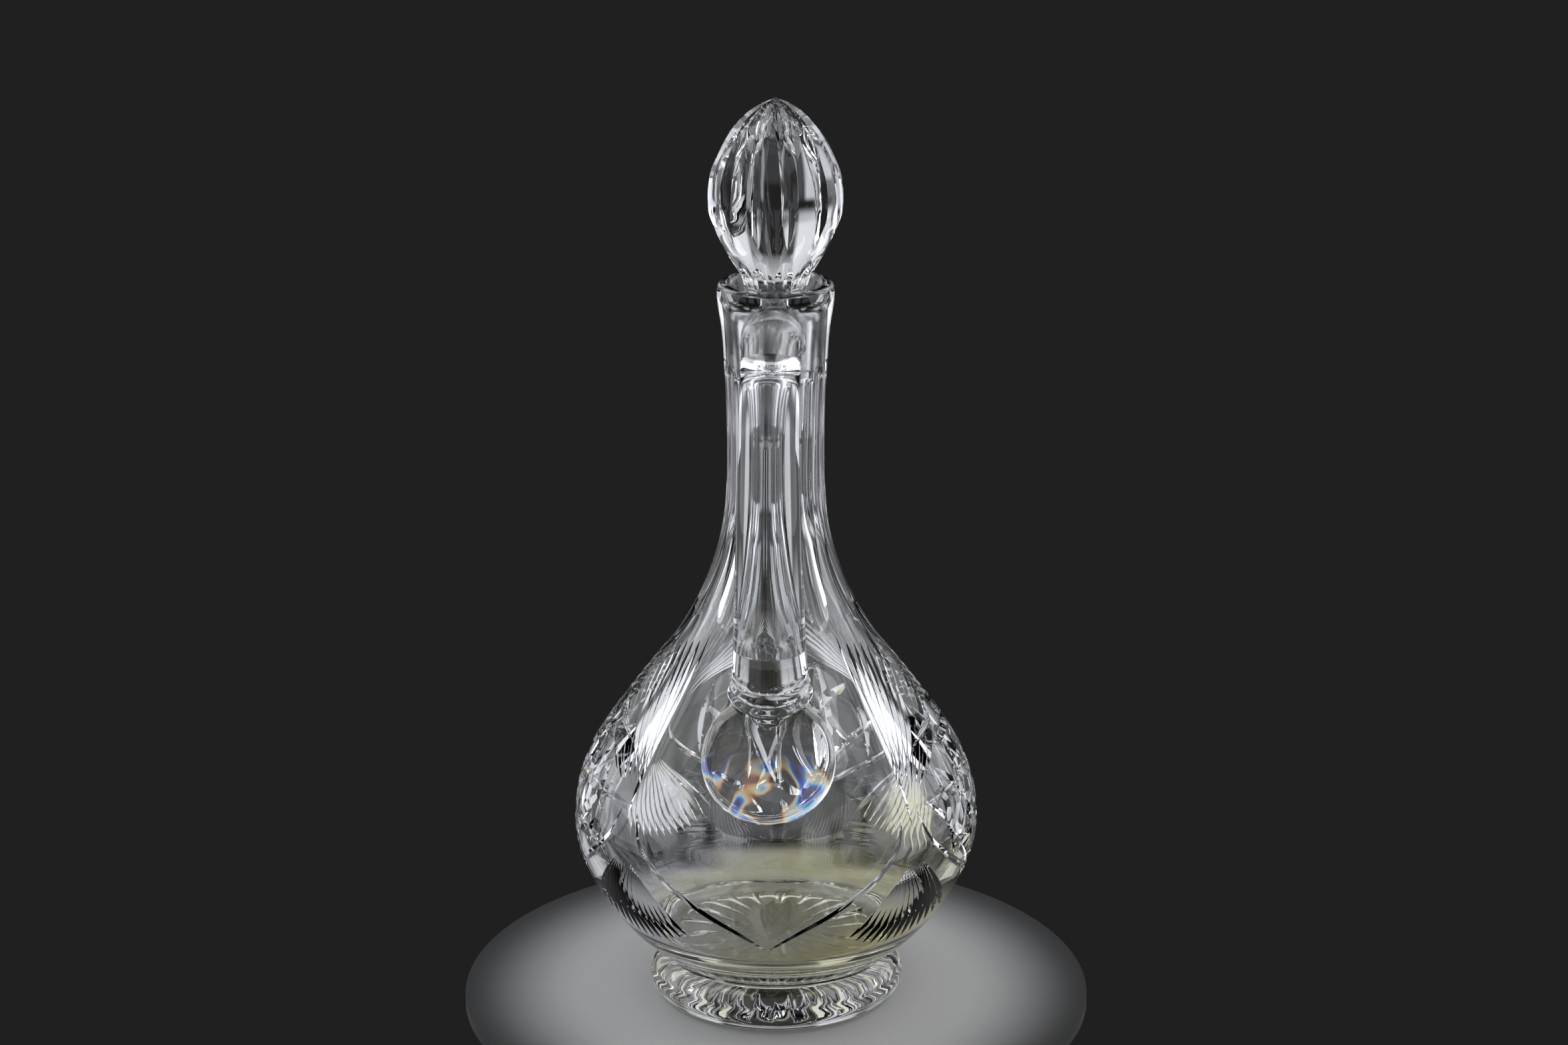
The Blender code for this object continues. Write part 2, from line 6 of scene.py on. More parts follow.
import bmesh
import bpy
import numpy as np
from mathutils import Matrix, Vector

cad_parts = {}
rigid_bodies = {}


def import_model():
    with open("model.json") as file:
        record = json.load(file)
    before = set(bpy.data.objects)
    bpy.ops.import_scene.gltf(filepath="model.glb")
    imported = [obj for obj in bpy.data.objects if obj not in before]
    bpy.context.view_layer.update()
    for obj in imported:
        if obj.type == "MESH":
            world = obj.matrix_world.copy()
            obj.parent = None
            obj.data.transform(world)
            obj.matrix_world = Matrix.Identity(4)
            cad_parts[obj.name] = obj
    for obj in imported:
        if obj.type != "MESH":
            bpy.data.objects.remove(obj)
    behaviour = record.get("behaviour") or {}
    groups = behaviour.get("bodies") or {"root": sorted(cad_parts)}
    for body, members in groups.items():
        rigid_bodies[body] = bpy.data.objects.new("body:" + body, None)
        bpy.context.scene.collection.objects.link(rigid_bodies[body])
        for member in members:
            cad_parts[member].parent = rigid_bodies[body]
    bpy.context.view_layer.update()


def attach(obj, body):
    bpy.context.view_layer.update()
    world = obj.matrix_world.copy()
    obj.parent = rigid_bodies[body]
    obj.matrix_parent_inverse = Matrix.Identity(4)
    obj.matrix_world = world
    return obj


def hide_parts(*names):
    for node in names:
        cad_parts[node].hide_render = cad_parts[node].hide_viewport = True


bl_info = {
    "name": "Cut Glass Carafe",
    "version": (1, 0, 0),
    "blender": (4, 5, 0),
    "location": "3D View > Sidebar > Carafe",
    "description": "Builds the finely cut glass of a carafe over its plain CAD frame",
    "category": "Object",
}

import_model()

# Outlines: (height, radius) in metres. The outer ones run from the rim down to the ring under the foot.
OUTER_OUTLINE = [
    (0.2980, 0.0234), (0.2930, 0.0229), (0.2860, 0.0218), (0.2778, 0.0210), (0.2678, 0.0205),
    (0.2602, 0.0200), (0.2489, 0.0196), (0.2350, 0.0195), (0.2189, 0.0198), (0.2028, 0.0214),
    (0.1867, 0.0255), (0.1706, 0.0320), (0.1561, 0.0400), (0.1432, 0.0499), (0.1303, 0.0597),
    (0.1175, 0.0689), (0.1046, 0.0766), (0.0920, 0.0812), (0.0820, 0.0827), (0.0740, 0.0828),
    (0.0655, 0.0813), (0.0570, 0.0781), (0.0490, 0.0738), (0.0410, 0.0685), (0.0340, 0.0629),
    (0.0280, 0.0570), (0.0225, 0.0500), (0.0205, 0.0477),
]
FOOT_OUTLINE = [
    (0.0185, 0.0465), (0.0172, 0.0478), (0.0150, 0.0498), (0.0128, 0.0512), (0.0109, 0.0519),
    (0.0072, 0.0526), (0.0050, 0.0523), (0.0035, 0.0515), (0.0020, 0.0503), (0.0010, 0.0483),
    (0.0000, 0.0463),
]
INNER_OUTLINE = [
    (0.0300, 0.0000), (0.0305, 0.0180), (0.0318, 0.0360), (0.0335, 0.0509), (0.0390, 0.0600),
    (0.0495, 0.0678), (0.0622, 0.0744), (0.0740, 0.0773), (0.0869, 0.0763), (0.0992, 0.0726),
    (0.1123, 0.0650), (0.1258, 0.0549), (0.1397, 0.0442), (0.1541, 0.0342), (0.1686, 0.0269),
    (0.1828, 0.0209), (0.1973, 0.0166), (0.2125, 0.0119), (0.2475, 0.0119),
]
SEAT_MIDDLE = (0.2700, 0.01245)
RIM_OUTLINE = [
    (0.2925, 0.0130), (0.2958, 0.0144), (0.2988, 0.0163), (0.3006, 0.0173), (0.3016, 0.0178),
    (0.3023, 0.0187), (0.3025, 0.0198), (0.3025, 0.0208), (0.3023, 0.0219), (0.3016, 0.0228),
    (0.3006, 0.0233),
]
HEAD_OUTLINE = [
    (0.3765, 0.0000), (0.3757, 0.0016), (0.3736, 0.0061), (0.3703, 0.0112), (0.3665, 0.0149),
    (0.3616, 0.0186), (0.3549, 0.0221), (0.3474, 0.0253), (0.3408, 0.0265), (0.3350, 0.0266),
    (0.3306, 0.0262), (0.3262, 0.0246), (0.3207, 0.0224), (0.3153, 0.0196), (0.3102, 0.0167),
    (0.3054, 0.0139), (0.3010, 0.0126),
]
SHANK_OUTLINE = [(0.2925, 0.0127), (0.2377, 0.0113), (0.2365, 0.0101), (0.2365, 0.0000)]

# Middle line of the rod: (reach from the axis, height, radius), from the neck to the bowl
ROD_ROUTE = [
    (0.0099, 0.2835, 0.0126), (0.0261, 0.2845, 0.0122), (0.0441, 0.2769, 0.0117),
    (0.0554, 0.2571, 0.0118), (0.0580, 0.2249, 0.0126), (0.0560, 0.1897, 0.0137),
    (0.0505, 0.1604, 0.0148), (0.0440, 0.1370, 0.0160),
]

# Heights on the wall
SEAL_HEIGHT = 0.1256
SEAT_LOW = 0.2475
SEAT_TOP = 0.2925
VESSEL_TOP = 0.3025
PAD_HEIGHT = 0.2835
FLUTE_FOOT = 0.1650
FLUTE_TOP = 0.2680
CORNER_LOW = 0.0940
FALLING_HEIGHTS = (0.0465, 0.1010)
FAN_HEIGHT = 0.1000
SKIRT_HEIGHT = 0.0850
STAR_HEIGHT = 0.0810

# Falling frame of a panel: (height, degrees from the middle of the panel), and how it is smoothed
WINDOW_EDGE = [
    (0.047, 0), (0.052, 4.5), (0.058, 10), (0.063, 16), (0.069, 22), (0.077, 31), (0.088, 39), (0.100, 42),
]
EDGE_BLUR = 0.003
EDGE_SHARP_BELOW = 0.052

# Space of a hobstar: degrees kept free at the frame, and its top in the middle, with the fall to a corner
PANEL_MARGIN = 1.5
PANEL_TOP = 0.136
PANEL_FALL = 0.038

# Cutting: lengths in metres, angles in degrees, the rest counts and shares. LIFT is how far a cutter
# stands clear of the glass, and its pointed ends rise by the share END_LIFT of that.
LIFT = 0.0010
END_LIFT = 0.6
CORNER = 45
MITRE_ANGLE = 50
STAR_ANGLE = 51
UPRIGHT_DEPTH = 0.75
FALLING_DEPTH = 0.85
FLUTES = 10
FLUTE_WHEEL = 0.0150
FLUTE_TURN_OUT = 0.035
FAN_SPREAD = 54
FAN_START = 0.012
FAN_STAGGER = 0.006
FAN_END = 0.0745
SKIRT_SPREAD = 38
SKIRT_START = 0.006
SKIRT_END = 0.0455
STAR_STEPS = 80
SHORTEST_LINE = 8
RAY_REACH = 0.056
CHORD_REACH = 0.054
OUTER_REACH = 0.050
OUTER_PLACE = 1.95
OUTER_DEPTH = 0.8
FOOT_RAYS = 24
FOOT_RAY_START = 0.0016
FOOT_RAY_ROUND = 0.0395
FOOT_RAY_END = 0.0438
FOOT_WHEEL = 0.0120
FOOT_CLEARANCE = 0.0001
HEAD_MITRES = 12
HEAD_LOW = 0.3195
COLLAR_TOP = 0.3170
COLLAR_DEPTH = 0.0010
COLLAR_FADE = 1.3
COLLAR_CLEARANCE = 0.0001
COLLAR_WHEEL = 0.0126

# Hot-worked glass: the pouring lip, the gobs as (radius, thickness, edge) and the rod's ripples
LIP_DEPTH = 0.013
LIP_SPREAD = 55
LIP_OUT = 0.0026
LIP_UP = 0.0032
SEAL_GOB = (0.0265, 0.0062, 0.0050)
PAD_GOB = (0.0130, 0.0045, 0.0022)
GOB_FACE = [(1, 0), (0.985, 0.25), (0.93, 0.48), (0.82, 0.68)]
GOB_EDGE_DROP = 1.35
RIPPLE_HEIGHT = 0.1475
RIPPLE_SPREAD = 0.013
RIPPLE_LENGTH = 0.0052
WALL_SINK = 0.0016

# Meshes: steps round a turned piece, the angle from which an edge is crisp, the fewest faces of a Boolean
VESSEL_STEPS = 264
STOPPER_STEPS = 240
VESSEL_CREASE = 26
STOPPER_CREASE = 24
FEWEST_FACES = 100

# Where the vessel's materials change: inside the neck, and round the seal
SEAT_REACH = 0.0135
SEAL_BELOW = 0.0275
SEAL_ABOVE = 0.0245
SEAL_FRONT = -0.055
SEAL_HALF_WIDTH = 0.0275
SEAL_PROUD = 0.0006
SHANK_TOP = SEAT_TOP + 0.001

# Looks of the glass: painted colours of spectral fringes and painted light that the seal emits, by noise
# value, and the heights where they fade in
WHITE, BLACK = (1, 1, 1, 1), (0, 0, 0, 1)
# Painted spectral fringes: bands of the colours of dispersed light, multiplied into the seal's base colour
PAINTED_FRINGE_TINTS = [
    (0.0, WHITE), (0.44, WHITE), (0.50, (1.0, 0.86, 0.55, 1)), (0.53, (1.0, 0.66, 0.55, 1)),
    (0.57, (0.45, 0.55, 1.0, 1)), (0.61, (0.55, 0.9, 1.0, 1)), (0.66, WHITE), (1.0, WHITE),
]
# Painted light: colours that the seal emits by noise value, standing in for the light of its spectral
# fringes, though it is no lamp
PAINTED_FRINGE_GLOW = [
    (0.0, BLACK), (0.47, BLACK), (0.50, (0.30, 0.06, 0.02, 1)), (0.52, (0.85, 0.45, 0.12, 1)),
    (0.545, (0.80, 0.80, 0.55, 1)), (0.575, (0.75, 0.80, 0.80, 1)), (0.60, (0.08, 0.50, 0.80, 1)),
    (0.625, (0.02, 0.07, 0.85, 1)), (0.65, (0.03, 0.02, 0.40, 1)), (0.69, BLACK), (1.0, BLACK),
]
PAINTED_FRINGE_HEIGHTS = (0.132, 0.119)
STRAW_CLOUD = 0.03
STRAW_LEAN = -0.34
FOOT_CLEAR = (0.024, 0.018)
GRIT_SPREAD = 0.08

# Boards that the glass shows: paleness by how far a direction turns from the middle to a side
LOW_BOARDS = [
    (0, 0), (0.21, 0), (0.23, 0.35), (0.25, 0.35), (0.27, 0.03), (0.34, 0.03), (0.38, 0.74), (0.57, 0.74),
    (0.61, 0.10), (1, 0.10),
]
UNDER_BOARDS = [
    (0, 0), (0.56, 0), (0.62, 0.7), (0.74, 0.7), (0.78, 0.15), (0.84, 0.15), (0.88, 0.7), (0.96, 0.7),
    (1, 0.3),
]
HIGH_BOARDS = [
    (0, 0), (0.26, 0), (0.31, 1), (0.52, 1), (0.56, 0.05), (0.61, 0.05), (0.65, 1), (0.75, 1), (0.78, 0.1),
    (0.81, 0.1), (0.84, 1), (0.95, 1), (1, 0.5),
]
# Each with the upward part of a direction where it has faded out and where it is full
BOARDS = [(LOW_BOARDS, -0.16, -0.26), (HIGH_BOARDS, -0.12, 0.12), (UNDER_BOARDS, -0.36, -0.46)]
FRONT_BOARD_NEAR = (0.15, 0.55)
FRONT_BOARD_UP = (0.30, 0.55)

# Floor, softboxes and camera. A softbox: place on the right, aim, width, height and colour
FLOOR_TOP = -0.0002
FLOOR_UNDERSIDE = -0.0042
FLOOR_GRAIN = 0.97
# Share of the floor's radius from which its colour darkens outwards: painted falloff of light
FLOOR_PAINTED_FALLOFF_START = 0.6
SIDE_SOFTBOX = ((1.05, 0.15, 0.50), (0, 0, 0.16), 1.1, 1.4, (0.92, 0.93, 1.0))
TOP_SOFTBOX = ((0.62, -0.20, 1.15), (0, 0, 0.1), 0.6, 0.6, (1, 1, 1))
CAMERA_LENS = 85
CAMERA_SENSOR = 36
CAMERA_AWAY = 1.42
CAMERA_ASIDE = 0.0033
CAMERA_HEIGHT = 0.6622
CAMERA_DOWN = 17.93


# Outlines and surfaces

def through(points, steps):
    """A smooth curve through the points, with steps pieces between each two of them."""
    p = np.array(points, dtype=float)
    held = np.vstack([2 * p[0] - p[1], p, 2 * p[-1] - p[-2]])
    curve = []
    for i in range(len(p) - 1):
        a, b, c, d = held[i:i + 4]
        for t in np.arange(steps) / steps:
            ease = t * t * (3 - 2 * t)
            bend = (c - a) / 2 * t * (1 - t) ** 2 - (d - b) / 2 * t * t * (1 - t)
            curve.append(b * (1 - ease) + c * ease + bend)
    return curve + [p[-1]]


class Surface:
    """A turned surface that cuts are laid out on, by azimuth from -Y and length up its outline."""

    def __init__(self, outline):
        self.heights, self.radii = np.array(sorted(map(tuple, outline))).T
        runs = np.hypot(np.diff(self.radii), np.diff(self.heights))
        self.lengths = np.concatenate([[0], np.cumsum(runs)])

    def at_height(self, height):
        return float(np.interp(height, self.heights, self.lengths))

    def height(self, length):
        return float(np.interp(length, self.lengths, self.heights))

    def radius(self, length):
        return float(np.interp(length, self.lengths, self.radii))

    def place(self, azimuth, length):
        """The point there and the outward normal."""
        nudge = 0.0012
        rise = self.height(length + nudge) - self.height(length - nudge)
        swell = self.radius(length + nudge) - self.radius(length - nudge)
        turn = math.radians(azimuth)
        out = Vector((math.sin(turn), -math.cos(turn), 0))
        normal = (out * rise - Vector((0, 0, 1)) * swell).normalized()
        return out * self.radius(length) + Vector((0, 0, self.height(length))), normal

    def ray(self, azimuth, length, heading, start, stop, steps):
        """(azimuth, length) stations of a straight cut that leaves a centre at heading degrees."""
        across, up = math.sin(math.radians(heading)), math.cos(math.radians(heading))
        step = (stop - start) / steps
        turned_to = azimuth + math.degrees(start * across / self.radius(length + start * up))
        stations = []
        for i in range(steps + 1):
            run = length + (start + i * step) * up
            stations.append((turned_to, run))
            turned_to += math.degrees(step * across / self.radius(run + step * up / 2))
        return stations


# Meshes

def mesh_object(name, verts, faces):
    data = bpy.data.meshes.new(name)
    data.from_pydata([tuple(v) for v in verts], [], faces)
    data.update()
    made = bpy.data.objects.new(name, data)
    bpy.context.scene.collection.objects.link(made)
    return made


def face_outwards(item):
    """Turns each face of a closed mesh outwards."""
    mesh = bmesh.new()
    mesh.from_mesh(item.data)
    bmesh.ops.recalc_face_normals(mesh, faces=mesh.faces)
    mesh.to_mesh(item.data)
    mesh.free()


def tube(name, verts, count):
    """A closed tube over rings of count points each, with flat ends."""
    faces = []
    for i in range(len(verts) // count - 1):
        for j in range(count):
            k = (j + 1) % count
            faces.append([i * count + j, i * count + k, (i + 1) * count + k, (i + 1) * count + j])
    faces.append(list(range(count))[::-1])
    faces.append([len(verts) - count + j for j in range(count)])
    made = mesh_object(name, verts, faces)
    face_outwards(made)
    return made


def turned(name, outline, steps):
    """A solid turned from (height, radius) points that run from the axis to the axis, top first outside."""
    turns = (np.arange(steps) + 0.5) * 2 * math.pi / steps
    verts, rows = [], []
    for height, radius in outline:
        if radius < 1e-6:
            rows.append([len(verts)] * steps)
            verts.append((0, 0, height))
        else:
            rows.append(list(range(len(verts), len(verts) + steps)))
            verts += [(radius * math.sin(t), -radius * math.cos(t), height) for t in turns]
    faces = []
    for up, down in zip(rows, rows[1:]):
        for i in range(steps):
            j = (i + 1) % steps
            corners = [up[i], down[i], down[j], up[j]]
            faces.append(list(dict.fromkeys(corners)))
    return mesh_object(name, verts, faces)


def lens(steps, fullness=1.0):
    """Depth shares of a cut that runs out to a point at both ends."""
    u = np.linspace(0, 1, steps + 1)
    return np.sin(math.pi * u ** fullness) ** 0.8 - (np.exp(-50 * u) + np.exp(-50 * (1 - u))) / 8


def v_section(depth, half_angle):
    half = (depth + LIFT) * math.tan(math.radians(half_angle))
    return [(-half, LIFT), (0, -depth), (half, LIFT)]


def round_section(depth, deepest, wheel, steps):
    """Section of a hollow cut by a round wheel, closed above the glass."""
    reach = math.acos(1 - (deepest + LIFT) / wheel)
    return [(wheel * math.sin(a), wheel - depth - wheel * math.cos(a))
            for a in np.linspace(-reach, reach, steps + 1)]


def loft(name, places, sections, where):
    """A cutter lofted along places on a surface, with one section of (across, out) points at each."""
    verts = []
    for i, ((point, normal), section) in enumerate(zip(places, sections)):
        ahead = places[min(i + 1, len(places) - 1)][0] - places[max(i - 1, 0)][0]
        side = ahead.cross(normal).normalized()
        verts += [point + side * x + normal * h for x, h in section]
    made = tube(name, verts, len(sections[0]))
    bpy.context.scene.collection.objects.unlink(made)
    where.objects.link(made)


def mitre(name, surface, stations, depth, where, half_angle, fullness=1.0):
    """A V-shaped cut along (azimuth, length) stations, pointed at both ends."""
    places = [surface.place(*station) for station in stations]
    shares = lens(len(places) - 1, fullness)
    sections = [v_section(max(depth * share, -LIFT * END_LIFT), half_angle) for share in shares]
    loft(name, places, sections, where)


def combine(item, operation, operand):
    """Applies a Boolean to the item at once and deletes what it worked with."""
    step = item.modifiers.new(operation.title(), "BOOLEAN")
    step.operation = operation
    step.solver = "MANIFOLD"
    if isinstance(operand, bpy.types.Collection):
        step.operand_type = "COLLECTION"
        step.collection = operand
        used = list(operand.objects)
    else:
        step.object = operand
        used = [operand]
    bpy.context.view_layer.update()
    evaluated = item.evaluated_get(bpy.context.evaluated_depsgraph_get())
    data = bpy.data.meshes.new_from_object(evaluated)
    if len(data.polygons) < FEWEST_FACES:
        raise RuntimeError(f"{item.name}: the {operation} came out empty")
    item.modifiers.clear()
    old, item.data = item.data, data
    name = old.name
    bpy.data.meshes.remove(old)
    data.name = name
    for thing in used:
        bpy.data.objects.remove(thing, do_unlink=True)
    if isinstance(operand, bpy.types.Collection):
        bpy.data.collections.remove(operand)


def cutters(name):
    made = bpy.data.collections.new(name)
    bpy.context.scene.collection.children.link(made)
    return made


def polish(item, angle):
    """Smooth shading that keeps every cut edge crisp."""
    item.data.shade_smooth()
    item.data.set_sharp_from_angle(angle=math.radians(angle))


# Cuts of the vessel

def panel_reach(height):
    """Half-width in degrees of a cut panel at a height, between the mitres that frame it."""
    heights, widths = np.array(WINDOW_EDGE).T
    return float(np.interp(height, heights, widths, left=0))


def in_panel(offset, height):
    """Whether a place is inside the frame of a cut panel: above its apex and below its fans."""
    below_fans = PANEL_TOP - PANEL_FALL * abs(offset) / CORNER
    return panel_reach(height) - PANEL_MARGIN > abs(offset) and height < below_fans


def panel_edge(height):
    """Azimuth of the falling frame mitre from its apex, on a smooth curve through the measured places."""
    heights, widths = np.array(WINDOW_EDGE).T
    edge = float(np.interp(height, heights, widths))
    above = np.interp(height + EDGE_BLUR, heights, widths)
    near = float(above + np.interp(height - EDGE_BLUR, heights, widths)) / 2
    return (edge + near) / 2 if height > EDGE_SHARP_BELOW else edge


def flute_share(stop):
    """Share of a flute's depth at a stop from 0, its foot, to 1, its rounded top."""
    run_in, point = 0.3, 0.06
    share = min(1, 1.25 * math.sqrt(stop / run_in)) - 0.35 * max(0, 1 - stop / point)
    return min(share, 1) - 1.15 * max(0, (stop - (1 - FLUTE_TURN_OUT)) / FLUTE_TURN_OUT) ** 3


def neck_flutes(surface, cut, where):
    low, high = surface.at_height(FLUTE_FOOT), surface.at_height(FLUTE_TOP)
    stops = np.concatenate([np.linspace(0, 0.3, 16), np.linspace(0.3, 0.96, 18)[1:], [0.975, 0.99, 1.0]])
    sections = [round_section(cut.flute_depth * flute_share(stop), cut.flute_depth, FLUTE_WHEEL, 14)
                for stop in stops]
    for i in range(FLUTES):
        places = [surface.place(i * 360 / FLUTES, low + stop * (high - low)) for stop in stops]
        loft(f"flute_{i}", places, sections, where)


def frame_mitres(surface, corner, cut, where):
    low, high = surface.at_height(CORNER_LOW), surface.at_height(FLUTE_FOOT)
    upright = [(corner, run) for run in np.linspace(low, high, 26)]
    mitre(f"upright_{corner:.0f}", surface, upright, cut.frame_depth * UPRIGHT_DEPTH, where, MITRE_ANGLE)
    for side in (-1, 1):
        falling = [(corner + side * (CORNER - panel_edge(height)), surface.at_height(height))
                   for height in np.linspace(*FALLING_HEIGHTS, 40)]
        mitre(f"falling_{corner:.0f}_{side}", surface, falling, cut.frame_depth * FALLING_DEPTH, where,
              MITRE_ANGLE, fullness=0.8)


def upper_fan(surface, corner, sides, cut, where):
    centre = surface.at_height(FAN_HEIGHT)
    for side in sides:
        for i in range(1, cut.fan_rays + 1):
            heading = side * FAN_SPREAD * i / cut.fan_rays
            start = FAN_START + FAN_STAGGER * (i % 2)
            stations = surface.ray(corner, centre, heading, start, FAN_END, 24)
            mitre(f"fan_{corner:.0f}_{side * i}", surface, stations, cut.fan_depth, where, MITRE_ANGLE,
                  fullness=1.2)


def lower_fan(surface, corner, cut, where):
    centre = surface.at_height(SKIRT_HEIGHT)
    for i, spread in enumerate(np.linspace(-SKIRT_SPREAD, SKIRT_SPREAD, cut.skirt_rays)):
        stations = surface.ray(corner, centre, 180 + spread, SKIRT_START, SKIRT_END, 18)
        mitre(f"skirt_{corner:.0f}_{i}", surface, stations, cut.skirt_depth, where, MITRE_ANGLE,
              fullness=1.25)


def star_line(name, surface, azimuth, offset, heading, reach, depth, where):
    """A straight cut that passes the star's middle at offset, as far as the panel's frame lets it."""
    tilt = math.radians(heading)
    run = surface.at_height(STAR_HEIGHT) - offset * math.sin(tilt)
    turn = azimuth + math.degrees(offset * math.cos(tilt) / surface.radius(run))
    whole = surface.ray(turn, run, heading, -reach, reach, STAR_STEPS)
    inside = [in_panel(a - azimuth, surface.height(r)) for a, r in whole]
    low = high = STAR_STEPS // 2
    while low > 0 and inside[low - 1]:
        low -= 1
    while high < STAR_STEPS and inside[high + 1]:
        high += 1
    if high - low > SHORTEST_LINE:
        mitre(name, surface, whole[low:high + 1:2], depth, where, STAR_ANGLE)


def hobstar(surface, azimuth, cut, where):
    """Eight-pointed hobstar that fills its panel: lines through its middle and long chords round it."""
    depth = cut.star_depth
    for i in range(4):
        place, heading = f"{azimuth:.0f}_{i}", i * 45
        star_line(f"ray_{place}", surface, azimuth, 0, heading, RAY_REACH, depth, where)
        for side in (-1, 1):
            offset = side * cut.star_chord
            star_line(f"chord_{place}_{side}", surface, azimuth, offset, heading, CHORD_REACH, depth, where)
            if i % 2 == 0:
                star_line(f"outer_{place}_{side}", surface, azimuth, offset * OUTER_PLACE, heading,
                          OUTER_REACH, depth * OUTER_DEPTH, where)


def foot_star(cut, where):
    """Rays under the foot: hollows that widen outwards and end round, just inside the ring it stands on."""
    rounding = FOOT_RAY_END - FOOT_RAY_ROUND
    reaches = np.concatenate([np.linspace(FOOT_RAY_START, FOOT_RAY_ROUND, 16),
                              FOOT_RAY_ROUND + rounding * np.sin(np.linspace(0, math.pi / 2, 9)[1:])])
    widest = (FOOT_RAY_END * math.tan(math.pi / FOOT_RAYS) * cut.foot_spread) ** 2 / 2 / FOOT_WHEEL
    sections = []
    for reach in reaches:
        past = max(0, (reach - FOOT_RAY_ROUND) / rounding)
        depth = widest * (min(reach, FOOT_RAY_ROUND) / FOOT_RAY_END) ** 2 * math.sqrt(max(0, 1 - past ** 2))
        sections.append(round_section(depth - FOOT_CLEARANCE * past, widest, FOOT_WHEEL, 12))
    for i in range(FOOT_RAYS):
        turn = math.radians((i + 0.5) * 360 / FOOT_RAYS)
        out = Vector((math.sin(turn), -math.cos(turn), 0))
        loft(f"foot_ray_{i}", [(out * reach, Vector((0, 0, -1))) for reach in reaches], sections, where)


# Materials

def node_group(name, inputs, outputs):
    """A new node group, its input node and its output node."""
    group = bpy.data.node_groups.new(name, "ShaderNodeTree")
    for label, kind, value in inputs:
        socket = group.interface.new_socket(name=label, in_out="INPUT", socket_type=kind)
        socket.default_value = value
    for label, kind in outputs:
        group.interface.new_socket(name=label, in_out="OUTPUT", socket_type=kind)
    return group, group.nodes.new("NodeGroupInput"), group.nodes.new("NodeGroupOutput")


def rising(nodes, low, high, most=1.0):
    """0 to most as the value runs from low to high, with soft ends."""
    made = nodes.new("ShaderNodeMapRange")
    made.interpolation_type = "SMOOTHSTEP"
    made.inputs["From Min"].default_value = low
    made.inputs["From Max"].default_value = high
    made.inputs["To Max"].default_value = most
    return made


def combined(nodes, links, operation, one, two):
    made = nodes.new("ShaderNodeMath")
    made.operation = operation
    links.new(one, made.inputs[0])
    links.new(two, made.inputs[1])
    return made.outputs[0]


def absolute(nodes, links, value):
    made = nodes.new("ShaderNodeMath")
    made.operation = "ABSOLUTE"
    links.new(value, made.inputs[0])
    return made.outputs[0]


def added(nodes, links, value, share, base):
    """The base plus that share of the value."""
    made = nodes.new("ShaderNodeMath")
    made.operation = "MULTIPLY_ADD"
    made.inputs[1].default_value = share
    links.new(value, made.inputs[0])
    links.new(base, made.inputs[2])
    return made.outputs[0]


def mixed(nodes, links, share, one, two, blend="MIX"):
    """A colour from one to two by the share. Each of the two is a socket or a fixed colour."""
    made = nodes.new("ShaderNodeMix")
    made.data_type = "RGBA"
    made.blend_type = blend
    links.new(share, made.inputs["Factor"])
    for label, colour in (("A", one), ("B", two)):
        if isinstance(colour, bpy.types.NodeSocket):
            links.new(colour, made.inputs[label])
        else:
            made.inputs[label].default_value = (*colour, 1)
    return made.outputs["Result"]


def colour_ramp(nodes, stops):
    """A ramp through (place, colour) stops."""
    ramp = nodes.new("ShaderNodeValToRGB")
    elements = ramp.color_ramp.elements
    elements[0].position, elements[0].color = stops[0]
    elements[1].position, elements[1].color = stops[-1]
    for place, colour in stops[1:-1]:
        elements.new(place).color = colour
    return ramp


def tint_group():
    """Lead glass colour: straw where the glass is thick low down, nearly clear above and in the foot."""
    group, given, made = node_group(
        "lead_tint",
        [("Clear", "NodeSocketColor", (1, 1, 1, 1)), ("Straw", "NodeSocketColor", (1, 0.95, 0.8, 1)),
         ("Straw Top", "NodeSocketFloat", 0.06), ("Clear From", "NodeSocketFloat", 0.10)],
        [("Colour", "NodeSocketColor")])
    nodes, links = group.nodes, group.links
    place = nodes.new("ShaderNodeTexCoord")
    parts = nodes.new("ShaderNodeSeparateXYZ")
    cloud = nodes.new("ShaderNodeTexNoise")
    cloud.inputs["Scale"].default_value = 28
    cloud.inputs["Detail"].default_value = 2
    links.new(place.outputs["Object"], parts.inputs[0])
    links.new(place.outputs["Object"], cloud.inputs["Vector"])
    swayed = added(nodes, links, cloud.outputs["Fac"], STRAW_CLOUD, parts.outputs["Z"])
    body, foot = rising(nodes, 0, 1), rising(nodes, *FOOT_CLEAR)
    links.new(added(nodes, links, parts.outputs["X"], STRAW_LEAN, swayed), body.inputs["Value"])
    links.new(given.outputs["Straw Top"], body.inputs["From Min"])
    links.new(given.outputs["Clear From"], body.inputs["From Max"])
    links.new(parts.outputs["Z"], foot.inputs["Value"])
    paler = combined(nodes, links, "MAXIMUM", body.outputs["Result"], foot.outputs["Result"])
    colour = mixed(nodes, links, paler, given.outputs["Straw"], given.outputs["Clear"])
    links.new(colour, made.inputs["Colour"])
    return group


